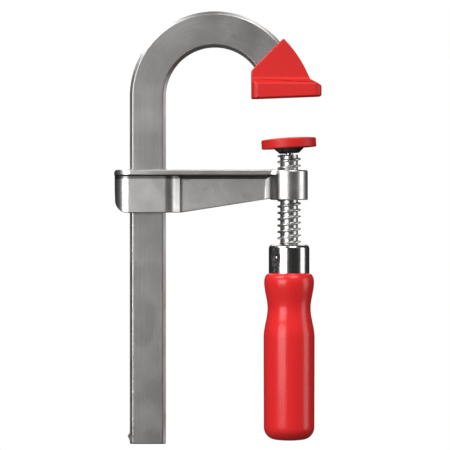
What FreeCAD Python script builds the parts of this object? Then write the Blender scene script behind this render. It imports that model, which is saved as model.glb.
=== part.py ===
import FreeCAD, Part
import math
import os

# Bar clamp of the hooked-rail kind: a flat steel rail whose top is bent over into the fixed
# jaw, and a cast arm that slides along it and carries a screw with a swivelling pad.
#
# Frame: +X from the rail to the spindle, +Y away from the front, +Z up along the rail.
# The origin is where the spindle's axis meets the face of the fixed jaw. Millimetres.

Vector = FreeCAD.Vector
AXIS_X = Vector(1, 0, 0)
AXIS_Y = Vector(0, 1, 0)
AXIS_Z = Vector(0, 0, 1)
ORIGIN = Vector(0, 0, 0)

# ---- Rail: rolled flat bar with bevelled long edges
BAR_WIDTH = 20.0
BAR_THICKNESS = 5.0
BAR_BEVEL = 1.7
THROAT_DEPTH = 68.0            # spindle axis to the rail's near edge
RAIL_DROP = 191.3              # jaw face down to the rail's lower end
TIP_INSET = 14.0               # spindle axis to the inside of the bent bar's end
HOOK_RISE = 0.5                # centre of the bend above the jaw face
TIP_RISE = 3.5                 # end of the bent bar above the jaw face
STOP_HEIGHT = 5.0              # swelling staked up at the rail's end to keep the arm on
STOP_REACH = 1.2
STOP_FROM_END = 1.5
STOP_INSET = 2.4               # how far the staked metal is drawn from inside the bar
STAKE_MARK_RADIUS = 1.3        # the punch mark that raised it, one on each side
STAKE_MARK_DEPTH = 1.0

# ---- Fixed jaw cap: moulded boot pushed over the bent end of the rail
JAW_TILT = 2.2                 # degrees that the jaw face leans, outer end higher
CAP_HEEL_REACH = 6.9           # the cap's end on the rail side, past the inside of the bar's end
CAP_TOE_REACH = 11.8           # the end of the toe, past the outside of the bar's end
CAP_HEIGHT = 32.4
CAP_PEAK_INSET = 9.2           # the peak, in from the outside of the bar's end
CAP_MOUTH_HEIGHT = 16.4        # low end of the sloping mouth that the bar enters
CAP_MOUTH_INSET = 1.7
CAP_SHOULDER_DROP = 1.9
CAP_BACK_REACH = 5.3           # foot of the curved back, past the outside of the bar's end
CAP_BACK_HEIGHT = 10.3
CAP_BACK_BULGE = 1.35          # how far the back bows out of a straight line
CAP_TOE_HEIGHT = 6.4
CAP_BASE_WIDTH = 18.0
CAP_SLEEVE_WALL = 3.0          # plastic on each side of the bar
CAP_BASE_HEIGHT = 7.6          # below this the cap has its full width
CAP_STEP_RISE = 2.8            # the slope from the base's width to the sleeve's
CAP_CORNER = 4.0

# ---- Sliding arm: die casting that runs on the rail and carries the spindle
ARM_TOP = -40.0
ARM_RAIL_HEIGHT = 23.8         # height of the casting where it grips the rail
ARM_RAIL_WALL = 8.7            # metal behind the rail's back edge
ARM_RAIL_SIDE = 5.5            # metal in front of the rail slot and behind it
ARM_DRAFT = 0.6                # how much the rail end narrows towards its foot
ARM_HEEL_RADIUS = 7.0
ARM_TOP_CORNER = 2.2           # rounding of the end's top corner, seen from the front
ARM_FLAT_PAST_RAIL = -0.8      # where the flat ends and the ramp to the web starts
RAMP_ANGLE = 45.0
RAMP_CREST_RADIUS = 8.5
RAMP_FOOT_RADIUS = 3.4
WEB_THICKNESS = 6.0
WEB_HEEL_RISE = 0.2            # where the web's lower edge leaves the rail end
WEB_TOE_RISE = 7.9             # the same edge where it reaches the spindle boss
WEB_BLEND_RADIUS = 7.0
RIM_HEIGHT = 3.3
RIM_PROUD = 1.2                # the rim stands this far out of the rail end's faces
RIM_PROUD_END = 0.3            # and this far out of its round end
RIM_COVE = 2.4                 # hollow rounding between the rim and the web
RIM_BOSS_WIDTH = 13.6          # width of the rim where it meets the spindle boss
RIM_BLEND_RADIUS = 7.4
RIM_EDGE = 0.7
BOSS_DIAMETER = 20.7
BOSS_HEIGHT = 16.6
BOSS_EDGE = 1.3
RAIL_CLEARANCE = 0.3           # arm to rail, on every side

# ---- Spindle
THREAD_PITCH = 3.5
THREAD_DIAMETER = 13.0
CORE_DIAMETER = 9.8
CREST_WIDTH = 0.75
ROOT_WIDTH = 1.6               # width of the ridge at the core
THREAD_DATUM = -34.05          # a crest crosses the +X side at this height
RIDGE_SETBACK = 0.15           # the ridge starts this far under the spindle's shoulder
THREAD_CLEARANCE = 0.2         # ridge to the arm's thread, on every side
RIDGE_SINK = 0.25              # the ridge is rooted this far inside the core
BALL_DIAMETER = 6.4
BALL_CENTRE = -28.0
BALL_NECK_DIAMETER = 4.2
BALL_NECK_LENGTH = 0.45        # ball to the spindle's shoulder
CORE_CHAMFER = 1.2
SHANK_LENGTH = 60.0            # plain end held in the ferrule and the handle

# ---- Pressure pad, on the spindle's ball
PAD_TILT = -3.4                # degrees about +Y: the outer side stands higher
SOCKET_CLEARANCE = 0.08
SOCKET_CROWN = 0.8             # metal over the ball
CROWN_WALL = 1.92              # metal round the ball, where the crown leaves the plate
HUB_SHORT = 0.3                # the hub's foot stays this far above the ball's low end
HUB_FOOT_DIAMETER = 10.8
HUB_ROOT_DIAMETER = 17.0
PLATE_DIAMETER = 25.6
PLATE_THICKNESS = 1.6
PLATE_RISE = 0.9               # underside of the plate above the ball's centre
PAD_DIAMETER = 30.3
PAD_TOP_RISE = 5.8             # middle of the pad's face above the ball's centre
PAD_LIP_WIDTH = 1.2            # how far the cap's lip hooks under the plate
PAD_LIP_HEIGHT = 0.9
PAD_DOME = 0.7                 # the face's edge lies this far below its middle
PAD_FLAT = 12.0                # diameter of the level middle of the face
PAD_EDGE = 1.0
RING_WIRE = 0.8
RING_DROP = 1.6                # ring below the ball's centre
RING_CLEARANCE = 0.1125        # wire to ball
RING_GAP_DEGREES = 30.0
GROOVE_ROOM = 0.55             # room round the ring, for the pad's tilt

# ---- Ferrule, handle and cross pin
FERRULE_TOP = -81.2
FERRULE_HEIGHT = 15.8
FERRULE_DIAMETER = 22.5
FERRULE_WALL = 1.3
FERRULE_ROOF = 2.5
FERRULE_EDGE = 2.4
THREAD_TO_FERRULE = 0.2
HANDLE_LENGTH = 92.5           # below the ferrule
HANDLE_SHOULDER_STEP = 0.1     # the wood stands out past the ferrule
HANDLE_HEAD_DIAMETER = 27.6
HANDLE_HEAD_DROP = 5.0
HANDLE_WAIST_DIAMETER = 23.8
HANDLE_WAIST_DROP = 19.4
HANDLE_GRIP_DIAMETER = 28.2
HANDLE_GRIP_DROP = 35.5
HANDLE_FOOT_DIAMETER = 28.0
HANDLE_FOOT_RADIUS = 7.0
HANDLE_END_RADIUS = 60.0       # the slightly domed end
HANDLE_SHOULDER_BULGE = 1.0
BORE_RELIEF = 2.0              # empty depth under the shank
PIN_DIAMETER = 2.8
PIN_DROP = 7.4                 # pin below the ferrule's top
PIN_AZIMUTH = 45.0             # degrees from +X
PIN_SUNK = 0.35
PIN_DIMPLE_DIAMETER = 4.8
PIN_DIMPLE_DEPTH = 0.5

# ---- Places that follow from those sizes
RAIL_NEAR = -THROAT_DEPTH
RAIL_FAR = RAIL_NEAR - BAR_WIDTH
HOOK_RADIUS = (THROAT_DEPTH - TIP_INSET) / 2    # inside of the bend
TIP_OUT = BAR_WIDTH - TIP_INSET
CAP_REACH_IN = TIP_INSET + CAP_HEEL_REACH
CAP_REACH_OUT = TIP_OUT + CAP_TOE_REACH
CAP_PEAK_OUT = TIP_OUT - CAP_PEAK_INSET
CAP_BACK_OUT = TIP_OUT + CAP_BACK_REACH
CAP_SLEEVE_WIDTH = BAR_THICKNESS + 2 * CAP_SLEEVE_WALL
ARM_RAIL_WIDTH = BAR_THICKNESS + 2 * (RAIL_CLEARANCE + ARM_RAIL_SIDE)
HOOK_X = RAIL_NEAR + HOOK_RADIUS
ARM_END = RAIL_FAR - ARM_RAIL_WALL
ARM_FOOT = ARM_TOP - ARM_RAIL_HEIGHT
BOSS_FOOT = ARM_TOP - BOSS_HEIGHT
THREAD_TOP = BALL_CENTRE - BALL_DIAMETER / 2 - BALL_NECK_LENGTH
RIDGE_TOP = THREAD_TOP - RIDGE_SETBACK
HUB_DEPTH = BALL_DIAMETER / 2 - HUB_SHORT
CROWN_RADIUS = BALL_DIAMETER / 2 + SOCKET_CLEARANCE + CROWN_WALL
RING_REACH = BALL_DIAMETER / 2 + RING_CLEARANCE + RING_WIRE / 2
RING_RADIUS = math.sqrt(RING_REACH ** 2 - RING_DROP ** 2)
FERRULE_FOOT = FERRULE_TOP - FERRULE_HEIGHT
HANDLE_SHOULDER_DIAMETER = FERRULE_DIAMETER + 2 * HANDLE_SHOULDER_STEP
THREAD_FOOT = FERRULE_TOP + THREAD_TO_FERRULE
SHANK_FOOT = FERRULE_TOP - SHANK_LENGTH
TENON_RADIUS = FERRULE_DIAMETER / 2 - FERRULE_WALL
PIN_HEIGHT = FERRULE_TOP - PIN_DROP


# ---- Drawing helpers

def in_front_view(x, z):
    return Vector(x, 0, z)


def in_plan(x, y):
    return Vector(x, y, 0)


def in_end_view(y, z):
    return Vector(0, y, z)


def outline(place, start, *steps):
    """Closed face: each step is (end,) for a straight run or (middle, end) for an arc."""
    edges = []
    here = place(*start)
    for step in steps + ((start,),):
        end = place(*step[-1])
        if len(step) == 2:
            edges.append(Part.Arc(here, place(*step[0]), end).toShape())
        elif here.distanceToPoint(end) > 1e-6:
            edges.append(Part.LineSegment(here, end).toShape())
        here = end
    return Part.Face(Part.Wire(edges))


def both_ways(face, direction, width):
    """The face spread evenly to both sides of its plane."""
    face.translate(direction * (-width / 2))
    return face.extrude(direction * width)


def turned(face):
    """Solid of revolution about Z of a face drawn at y = 0."""
    return face.revolve(ORIGIN, AXIS_Z, 360)


def on_arc(centre, radius, degrees):
    angle = math.radians(degrees)
    return (centre[0] + radius * math.cos(angle), centre[1] + radius * math.sin(angle))


def bowed(start, end, bulge):
    """Middle point of an arc that bows out to the left of start to end."""
    along = (end[0] - start[0], end[1] - start[1])
    length = math.hypot(*along)
    middle = ((start[0] + end[0]) / 2, (start[1] + end[1]) / 2)
    return (middle[0] - bulge * along[1] / length, middle[1] + bulge * along[0] / length)


def cylinder(radius, low, high):
    return Part.makeCylinder(radius, high - low, Vector(0, 0, low), AXIS_Z)


# ---- Rail

def on_hook(radius, height):
    """Point of the bend's falling side at a given height above the jaw face."""
    rise = height - HOOK_RISE
    return (HOOK_X + math.sqrt(radius ** 2 - rise ** 2), height)


def bent_bar():
    """The whole flat bar, still with square edges."""
    outer = HOOK_RADIUS + BAR_WIDTH
    centre = (HOOK_X, HOOK_RISE)
    face = outline(
        in_front_view,
        (RAIL_FAR, -RAIL_DROP),
        ((RAIL_FAR, HOOK_RISE),),
        (on_arc(centre, outer, 90), on_hook(outer, TIP_RISE)),
        (on_hook(HOOK_RADIUS, TIP_RISE),),
        (on_arc(centre, HOOK_RADIUS, 90), (RAIL_NEAR, HOOK_RISE)),
        ((RAIL_NEAR, -RAIL_DROP),),
    )
    return both_ways(face, AXIS_Y, BAR_THICKNESS)


def bevelled_bar():
    bar = bent_bar()
    long_edges = []
    for edge in bar.Edges:
        in_face = all(abs(abs(v.Y) - BAR_THICKNESS / 2) < 1e-6 for v in edge.Vertexes)
        if in_face and edge.Length > 1.5 * BAR_WIDTH:
            long_edges.append(edge)
    return bar.makeChamfer(BAR_BEVEL, long_edges)


def rail_stop():
    """Metal staked out of the back edge, with the arm's stop on top."""
    foot = -RAIL_DROP + STOP_FROM_END
    inside = RAIL_FAR + STOP_INSET
    crest = RAIL_FAR - STOP_REACH
    face = outline(
        in_front_view,
        (inside, foot),
        ((crest, foot + STOP_HEIGHT / 2), (inside, foot + STOP_HEIGHT)),
    )
    return both_ways(face, AXIS_Y, BAR_THICKNESS - BAR_BEVEL)


def stake_mark(side):
    """Pointed punch mark on one face: side is -1 for the front and 1 for the back."""
    height = -RAIL_DROP + STOP_FROM_END + STOP_HEIGHT / 2
    surface = Vector(RAIL_FAR + BAR_BEVEL, side * BAR_THICKNESS / 2, height)
    inward = Vector(0, -side, 0)
    return Part.makeCone(STAKE_MARK_RADIUS, 0, STAKE_MARK_DEPTH, surface, inward)


def rail():
    solid = bevelled_bar().fuse(rail_stop())
    for side in (-1, 1):
        solid = solid.cut(stake_mark(side))
    return solid.removeSplitter()


# ---- Fixed jaw cap

def jaw_face_height(x):
    return x * math.tan(math.radians(JAW_TILT))


def cap_profile():
    """Front view of the cap, from the low corner on the rail side round to its toe."""
    inner = -CAP_REACH_IN
    mouth = (inner + CAP_MOUTH_INSET, CAP_MOUTH_HEIGHT)
    peak = (CAP_PEAK_OUT, CAP_HEIGHT)
    back_foot = (CAP_BACK_OUT, CAP_BACK_HEIGHT)
    toe = (CAP_REACH_OUT, CAP_TOE_HEIGHT)
    return outline(
        in_front_view,
        (inner, jaw_face_height(inner)),
        ((inner, CAP_MOUTH_HEIGHT - CAP_SHOULDER_DROP),),
        (mouth,),
        (peak,),
        (bowed(peak, back_foot, CAP_BACK_BULGE), back_foot),
        (toe,),
        ((CAP_REACH_OUT, jaw_face_height(CAP_REACH_OUT)),),
    )


def cap_end_view():
    """The wide base, the slope above it and the narrower sleeve, seen along X."""
    base = CAP_BASE_WIDTH / 2
    sleeve = CAP_SLEEVE_WIDTH / 2
    step = CAP_BASE_HEIGHT + CAP_STEP_RISE
    low = jaw_face_height(-CAP_REACH_IN)
    return outline(
        in_end_view,
        (-base, low),
        ((-base, CAP_BASE_HEIGHT),),
        ((-sleeve, step),),
        ((-sleeve, CAP_HEIGHT),),
        ((sleeve, CAP_HEIGHT),),
        ((sleeve, step),),
        ((base, CAP_BASE_HEIGHT),),
        ((base, low),),
    )


def cap_block():
    """Plan of the cap, with round corners, as high as the cap."""
    low = jaw_face_height(-CAP_REACH_IN)
    block = Part.makeBox(
        CAP_REACH_IN + CAP_REACH_OUT,
        CAP_BASE_WIDTH,
        CAP_HEIGHT - low,
        Vector(-CAP_REACH_IN, -CAP_BASE_WIDTH / 2, low),
    )
    corners = [e for e in block.Edges if abs(e.tangentAt(e.FirstParameter).z) > 0.99]
    return block.makeFillet(CAP_CORNER, corners)


def fixed_jaw_cap():
    end_view = cap_end_view()
    end_view.translate(AXIS_X * -CAP_REACH_IN)
    along = end_view.extrude(AXIS_X * (CAP_REACH_IN + CAP_REACH_OUT))
    across = both_ways(cap_profile(), AXIS_Y, CAP_BASE_WIDTH)
    solid = across.common(along).common(cap_block())
    return solid.cut(bevelled_bar()).removeSplitter()


# ---- Sliding arm

def blend_to_boss(half_width, radius):
    """Concave blend, on the front, from a straight side into the spindle boss."""
    boss = BOSS_DIAMETER / 2
    reach = boss + radius
    centre_y = -(half_width + radius)
    centre_x = -math.sqrt(reach ** 2 - centre_y ** 2)
    start = (centre_x, -half_width)
    end = (centre_x * boss / reach, centre_y * boss / reach)
    to_end = math.degrees(math.atan2(end[1] - centre_y, end[0] - centre_x))
    middle = on_arc((centre_x, centre_y), radius, (90 + to_end) / 2)
    return start, middle, end


def mirrored_in_y(half):
    """A solid drawn for the front, with its mirror image behind."""
    return half.fuse(half.mirror(ORIGIN, AXIS_Y)).removeSplitter()


def arm_body_plan():
    """Front half of the casting under its rim: rail end, ramp, web and blend."""
    half = ARM_RAIL_WIDTH / 2
    web = WEB_THICKNESS / 2
    centre_x = ARM_END + RIM_PROUD_END + half
    ramp_x = RAIL_NEAR + ARM_FLAT_PAST_RAIL
    angle = math.radians(RAMP_ANGLE)
    crest_drop = RAMP_CREST_RADIUS * (1 - math.cos(angle))
    foot_drop = RAMP_FOOT_RADIUS * (1 - math.cos(angle))
    slope_drop = half - web - crest_drop - foot_drop
    crest_end = (ramp_x + RAMP_CREST_RADIUS * math.sin(angle), -half + crest_drop)
    slope_end = (crest_end[0] + slope_drop / math.tan(angle), crest_end[1] + slope_drop)
    foot_end = (slope_end[0] + RAMP_FOOT_RADIUS * math.sin(angle), -web)
    crest_centre = (ramp_x, -half + RAMP_CREST_RADIUS)
    foot_centre = (foot_end[0], -web - RAMP_FOOT_RADIUS)
    crest_middle = on_arc(crest_centre, RAMP_CREST_RADIUS, -90 + RAMP_ANGLE / 2)
    foot_middle = on_arc(foot_centre, RAMP_FOOT_RADIUS, 90 + RAMP_ANGLE / 2)
    blend_start, blend_middle, blend_end = blend_to_boss(web, WEB_BLEND_RADIUS)
    return outline(
        in_plan,
        (centre_x - half, 0),
        (on_arc((centre_x, 0), half, 225), (centre_x, -half)),
        ((ramp_x, -half),),
        (crest_middle, crest_end),
        (slope_end,),
        (foot_middle, foot_end),
        (blend_start,),
        (blend_middle, blend_end),
        ((blend_end[0], 0),),
    )


def arm_side_profile():
    """Front view of the casting: drafted end, round heel and the web's rising edge."""
    heel_x = ARM_END + ARM_DRAFT
    heel_centre = (heel_x + ARM_HEEL_RADIUS, ARM_FOOT + ARM_HEEL_RADIUS)
    web_start = RAIL_NEAR + ARM_RAIL_WALL
    corner = (ARM_END + ARM_TOP_CORNER, ARM_TOP - ARM_TOP_CORNER)
    return outline(
        in_front_view,
        (corner[0], ARM_TOP),
        (on_arc(corner, ARM_TOP_CORNER, 135), (ARM_END, corner[1])),
        ((heel_x, heel_centre[1]),),
        (on_arc(heel_centre, ARM_HEEL_RADIUS, 225), (heel_centre[0], ARM_FOOT)),
        ((web_start, ARM_FOOT + WEB_HEEL_RISE),),
        ((-BOSS_DIAMETER / 2, ARM_FOOT + WEB_TOE_RISE),),
        ((0, BOSS_FOOT),),
        ((0, ARM_TOP),),
    )


def arm_body():
    plan = arm_body_plan()
    plan.translate(AXIS_Z * ARM_FOOT)
    return mirrored_in_y(plan.extrude(AXIS_Z * ARM_RAIL_HEIGHT))


def rim_cove():
    """Hollow rounding under the rim, from the ramp to the boss, on the front half."""
    under = ARM_TOP - RIM_HEIGHT
    face = -WEB_THICKNESS / 2
    centre = (face - RIM_COVE, under - RIM_COVE)
    strip = outline(
        in_end_view,
        (face, centre[1]),
        (on_arc(centre, RIM_COVE, 45), (centre[0], under)),
        ((centre[0], under + RIM_HEIGHT / 2),),
        ((0, under + RIM_HEIGHT / 2),),
        ((0, centre[1]),),
    )
    start = RAIL_NEAR + ARM_FLAT_PAST_RAIL + RAMP_CREST_RADIUS / 2
    strip.translate(AXIS_X * start)
    return mirrored_in_y(strip.extrude(AXIS_X * (-BOSS_DIAMETER / 2 - start + RIM_COVE)))


def arm_rim():
    """The flange along the top of the arm, tapering to the spindle boss."""
    half = ARM_RAIL_WIDTH / 2 + RIM_PROUD
    centre_x = ARM_END + half
    start, middle, end = blend_to_boss(RIM_BOSS_WIDTH / 2, RIM_BLEND_RADIUS)
    plan = outline(
        in_plan,
        (centre_x - half, 0),
        (on_arc((centre_x, 0), half, 225), (centre_x, -half)),
        ((RAIL_NEAR, -half),),
        (start,),
        (middle, end),
        ((end[0], 0),),
    )
    plan.translate(AXIS_Z * (ARM_TOP - RIM_HEIGHT))
    rim = mirrored_in_y(plan.extrude(AXIS_Z * RIM_HEIGHT))
    long_edges = [e for e in rim.Edges if is_level(e) and not ends_on_chord(e)]
    return rim.makeFillet(RIM_EDGE, long_edges)


def is_level(edge):
    return all(abs(v.Z - edge.Vertexes[0].Z) < 1e-6 for v in edge.Vertexes)


def ends_on_chord(edge):
    """True for the straight inner end of the rim, which the boss covers."""
    return abs(edge.Vertexes[0].X - edge.Vertexes[-1].X) < 1e-6


def spindle_boss():
    boss = cylinder(BOSS_DIAMETER / 2, BOSS_FOOT, ARM_TOP)
    top = [e for e in boss.Edges if abs(e.BoundBox.ZMin - ARM_TOP) < 1e-6]
    return boss.makeFillet(BOSS_EDGE, top)


def rail_slot():
    return Part.makeBox(
        BAR_WIDTH + 2 * RAIL_CLEARANCE,
        BAR_THICKNESS + 2 * RAIL_CLEARANCE,
        ARM_RAIL_HEIGHT,
        Vector(RAIL_FAR - RAIL_CLEARANCE, -BAR_THICKNESS / 2 - RAIL_CLEARANCE, ARM_FOOT),
    )


def thread_bore():
    """Bore for the core, with its seam turned away from where the groove starts."""
    bore = cylinder(CORE_DIAMETER / 2 + THREAD_CLEARANCE, ARM_FOOT, ARM_TOP)
    bore.rotate(ORIGIN, AXIS_Z, 90)
    return bore


def thread_groove():
    """The spindle's own ridge with clearance, as long as the boss is high."""
    turns_down = math.ceil((THREAD_DATUM - BOSS_FOOT) / THREAD_PITCH) + 1
    low = THREAD_DATUM - turns_down * THREAD_PITCH
    ridge = helical_ridge(low, ARM_TOP + THREAD_PITCH, THREAD_CLEARANCE)
    return ridge.common(cylinder(THREAD_DIAMETER, BOSS_FOOT, ARM_TOP))


def sliding_arm():
    casting = arm_body().fuse([rim_cove(), arm_rim()])
    depth = ARM_RAIL_WIDTH + 2 * RIM_PROUD
    casting = casting.common(both_ways(arm_side_profile(), AXIS_Y, depth))
    solid = casting.fuse(spindle_boss()).removeSplitter()
    return solid.cut(rail_slot()).cut(thread_bore()).cut(thread_groove())


# ---- Spindle

def helical_ridge(low, high, clearance):
    """Right-hand ridge between two heights. The start angle repeats every pitch."""
    core = CORE_DIAMETER / 2
    root = core - RIDGE_SINK
    crest = THREAD_DIAMETER / 2 + clearance
    flank = (ROOT_WIDTH - CREST_WIDTH) / (THREAD_DIAMETER / 2 - core)
    half_crest = CREST_WIDTH / 2 + clearance
    half_root = half_crest + flank * (crest - root) / 2
    helix = Part.makeHelix(THREAD_PITCH, high - low, core)
    helix.translate(AXIS_Z * low)
    profile = outline(
        in_front_view,
        (root, low - half_root),
        ((crest, low - half_crest),),
        ((crest, low + half_crest),),
        ((root, low + half_root),),
    ).OuterWire
    return Part.Wire(helix.Edges).makePipeShell([profile], True, True)


def spindle():
    core = CORE_DIAMETER / 2
    turns_down = math.ceil((THREAD_DATUM - THREAD_FOOT) / THREAD_PITCH)
    low = THREAD_DATUM - turns_down * THREAD_PITCH
    ridge = helical_ridge(low, THREAD_DATUM + THREAD_PITCH, 0.0)
    ridge = ridge.common(cylinder(THREAD_DIAMETER, THREAD_FOOT, RIDGE_TOP))
    rod = turned(outline(
        in_front_view,
        (0, SHANK_FOOT),
        ((core - CORE_CHAMFER, SHANK_FOOT),),
        ((core, SHANK_FOOT + CORE_CHAMFER),),
        ((core, THREAD_TOP),),
        ((BALL_NECK_DIAMETER / 2, THREAD_TOP),),
        ((BALL_NECK_DIAMETER / 2, BALL_CENTRE),),
        ((0, BALL_CENTRE),),
    ))
    ball = Part.makeSphere(BALL_DIAMETER / 2, Vector(0, 0, BALL_CENTRE))
    return rod.fuse([ridge, ball]).cut(pin_shape()).removeSplitter()


# ---- Pressure pad: drawn about the ball's centre, then tilted with it

def on_the_ball(solid):
    solid.rotate(ORIGIN, AXIS_Y, PAD_TILT)
    solid.translate(AXIS_Z * BALL_CENTRE)
    return solid


def plate_body():
    """Pressed plate with its hub and the crown over the ball, still without a socket."""
    crown = BALL_DIAMETER / 2 + SOCKET_CLEARANCE + SOCKET_CROWN
    plate_top = PLATE_RISE + PLATE_THICKNESS
    rise = crown - plate_top
    crown_foot = (CROWN_RADIUS + rise, plate_top)
    return turned(outline(
        in_front_view,
        (0, -HUB_DEPTH),
        ((HUB_FOOT_DIAMETER / 2, -HUB_DEPTH),),
        ((HUB_ROOT_DIAMETER / 2, 0),),
        ((HUB_ROOT_DIAMETER / 2, PLATE_RISE),),
        ((PLATE_DIAMETER / 2, PLATE_RISE),),
        ((PLATE_DIAMETER / 2, plate_top),),
        (crown_foot,),
        ((CROWN_RADIUS, crown),),
        ((0, crown),),
    ))


def ball_socket():
    """Room for the ball, the way in from below, and the ring's groove."""
    radius = BALL_DIAMETER / 2 + SOCKET_CLEARANCE
    groove_radius = RING_RADIUS + RING_WIRE / 2 + GROOVE_ROOM / 2
    groove_half = RING_WIRE / 2 + GROOVE_ROOM
    bore = cylinder(radius, -HUB_DEPTH, 0)
    groove = cylinder(groove_radius, -RING_DROP - groove_half, -RING_DROP + groove_half)
    return Part.makeSphere(radius).fuse([bore, groove])


def swivel_plate():
    return on_the_ball(plate_body().cut(ball_socket()).removeSplitter())


def pad_cap():
    """Moulded cap that snaps over the plate and hooks under its edge."""
    radius = PAD_DIAMETER / 2
    foot = PLATE_RISE - PAD_LIP_HEIGHT
    level = PAD_FLAT / 2
    crown = ((radius ** 2 - level ** 2) / PAD_DOME + PAD_DOME) / 2
    dome_radius = (crown ** 2 + level ** 2) ** 0.5
    dome = Part.makeSphere(dome_radius, Vector(0, 0, PAD_TOP_RISE - crown))
    shell = cylinder(radius, foot, PAD_TOP_RISE).common(dome)
    edge_height = PAD_TOP_RISE - PAD_DOME
    rim = [e for e in shell.Edges if abs(e.CenterOfMass.z - edge_height) < 1e-3]
    shell = shell.makeFillet(PAD_EDGE, rim)
    way_in = cylinder(PLATE_DIAMETER / 2 - PAD_LIP_WIDTH, foot, PLATE_RISE)
    return on_the_ball(shell.cut(way_in.fuse(plate_body())).removeSplitter())


def retaining_ring():
    """Open ring of round wire under the ball."""
    centre = Vector(0, 0, BALL_CENTRE - RING_DROP)
    turn = 360 - RING_GAP_DEGREES
    return Part.makeTorus(RING_RADIUS, RING_WIRE / 2, centre, AXIS_Z, 0, 360, turn)


# ---- Ferrule, pin and handle

def pin_direction():
    angle = math.radians(PIN_AZIMUTH)
    return Vector(math.cos(angle), math.sin(angle), 0)


def pin_shape():
    length = FERRULE_DIAMETER - 2 * PIN_SUNK
    start = AXIS_Z * PIN_HEIGHT - pin_direction() * (length / 2)
    return Part.makeCylinder(PIN_DIAMETER / 2, length, start, pin_direction())


def handle_pin():
    return pin_shape()


def pin_dimples():
    """Shallow countersinks round both ends of the pin."""
    dimples = []
    for side in (-1, 1):
        outward = pin_direction() * side
        floor = AXIS_Z * PIN_HEIGHT + outward * (FERRULE_DIAMETER / 2 - PIN_DIMPLE_DEPTH)
        dimples.append(Part.makeCone(
            PIN_DIAMETER / 2,
            PIN_DIMPLE_DIAMETER / 2,
            PIN_DIMPLE_DEPTH,
            floor,
            outward,
        ))
    return dimples


def ferrule():
    cup = cylinder(FERRULE_DIAMETER / 2, FERRULE_FOOT, FERRULE_TOP)
    top = [e for e in cup.Edges if abs(e.BoundBox.ZMin - FERRULE_TOP) < 1e-6]
    cup = cup.makeFillet(FERRULE_EDGE, top)
    cup = cup.cut(cylinder(TENON_RADIUS, FERRULE_FOOT, FERRULE_TOP - FERRULE_ROOF))
    cup = cup.cut(cylinder(CORE_DIAMETER / 2, FERRULE_FOOT, FERRULE_TOP))
    return cup.cut([pin_shape()] + pin_dimples())


def handle_end():
    """The corner and the slightly domed end, tangent to each other and to the grip's side."""
    foot = FERRULE_FOOT - HANDLE_LENGTH
    corner_x = HANDLE_FOOT_DIAMETER / 2 - HANDLE_FOOT_RADIUS
    dome_z = foot + HANDLE_END_RADIUS
    apart = HANDLE_END_RADIUS - HANDLE_FOOT_RADIUS
    corner_z = dome_z - math.sqrt(apart ** 2 - corner_x ** 2)
    meet = math.degrees(math.atan2(corner_z - dome_z, corner_x))
    corner = (corner_x, corner_z)
    start = on_arc(corner, HANDLE_FOOT_RADIUS, 0)
    corner_middle = on_arc(corner, HANDLE_FOOT_RADIUS, meet / 2)
    join = on_arc(corner, HANDLE_FOOT_RADIUS, meet)
    dome = Part.Circle(in_front_view(0, dome_z), -AXIS_Y, HANDLE_END_RADIUS)
    angles = sorted(dome.parameter(in_front_view(*p)) for p in (join, (0, foot)))
    corner_arc = Part.Arc(*(in_front_view(*p) for p in (start, corner_middle, join)))
    return start, [corner_arc.toShape(), Part.Edge(dome, angles[0], angles[1])]


def eased(upper, lower):
    """Side of the grip between two heights, upright at both ends."""
    third = (lower[1] - upper[1]) / 3
    curve = Part.BezierCurve()
    curve.setPoles([
        in_front_view(*upper),
        in_front_view(upper[0], upper[1] + third),
        in_front_view(lower[0], lower[1] - third),
        in_front_view(*lower),
    ])
    return curve.toShape()


def handle_grip():
    """The turned grip below the ferrule, from its shoulder to its rounded foot."""
    top = FERRULE_FOOT
    shoulder = (HANDLE_SHOULDER_DIAMETER / 2, top)
    head = (HANDLE_HEAD_DIAMETER / 2, top - HANDLE_HEAD_DROP)
    waist = (HANDLE_WAIST_DIAMETER / 2, top - HANDLE_WAIST_DROP)
    grip = (HANDLE_GRIP_DIAMETER / 2, top - HANDLE_GRIP_DROP)
    side_foot, end_edges = handle_end()
    middle = bowed(shoulder, head, HANDLE_SHOULDER_BULGE)
    shoulder_arc = Part.Arc(*(in_front_view(*p) for p in (shoulder, middle, head)))
    edges = [
        shoulder_arc.toShape(),
        eased(head, waist),
        eased(waist, grip),
        eased(grip, side_foot),
        *end_edges,
        Part.LineSegment(in_front_view(0, top - HANDLE_LENGTH), in_front_view(0, top)).toShape(),
        Part.LineSegment(in_front_view(0, top), in_front_view(*shoulder)).toShape(),
    ]
    return turned(Part.Face(Part.Wire(edges)))


def handle():
    tenon = cylinder(TENON_RADIUS, FERRULE_FOOT, FERRULE_TOP - FERRULE_ROOF)
    bore = cylinder(CORE_DIAMETER / 2, SHANK_FOOT - BORE_RELIEF, FERRULE_TOP)
    return handle_grip().fuse(tenon).cut([bore, pin_shape()]).removeSplitter()


PARTS = {
    "rail": rail,
    "fixed_jaw_cap": fixed_jaw_cap,
    "sliding_arm": sliding_arm,
    "spindle": spindle,
    "swivel_plate": swivel_plate,
    "retaining_ring": retaining_ring,
    "pad_cap": pad_cap,
    "ferrule": ferrule,
    "handle": handle,
    "handle_pin": handle_pin,
}

os.makedirs("parts", exist_ok=True)
for name, make in PARTS.items():
    shape = make()
    shape.exportStep("parts/" + name + ".step")
    print(name, len(shape.Solids), "solid", round(shape.Volume), "mm3 valid", shape.isValid())
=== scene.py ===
"""Looks of a hooked-rail bar clamp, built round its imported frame."""
import logging
import math
from dataclasses import dataclass
from enum import Enum
from typing import Any, Callable, Optional, Sequence

import bmesh
import bpy
from mathutils import Matrix, Vector


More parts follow.
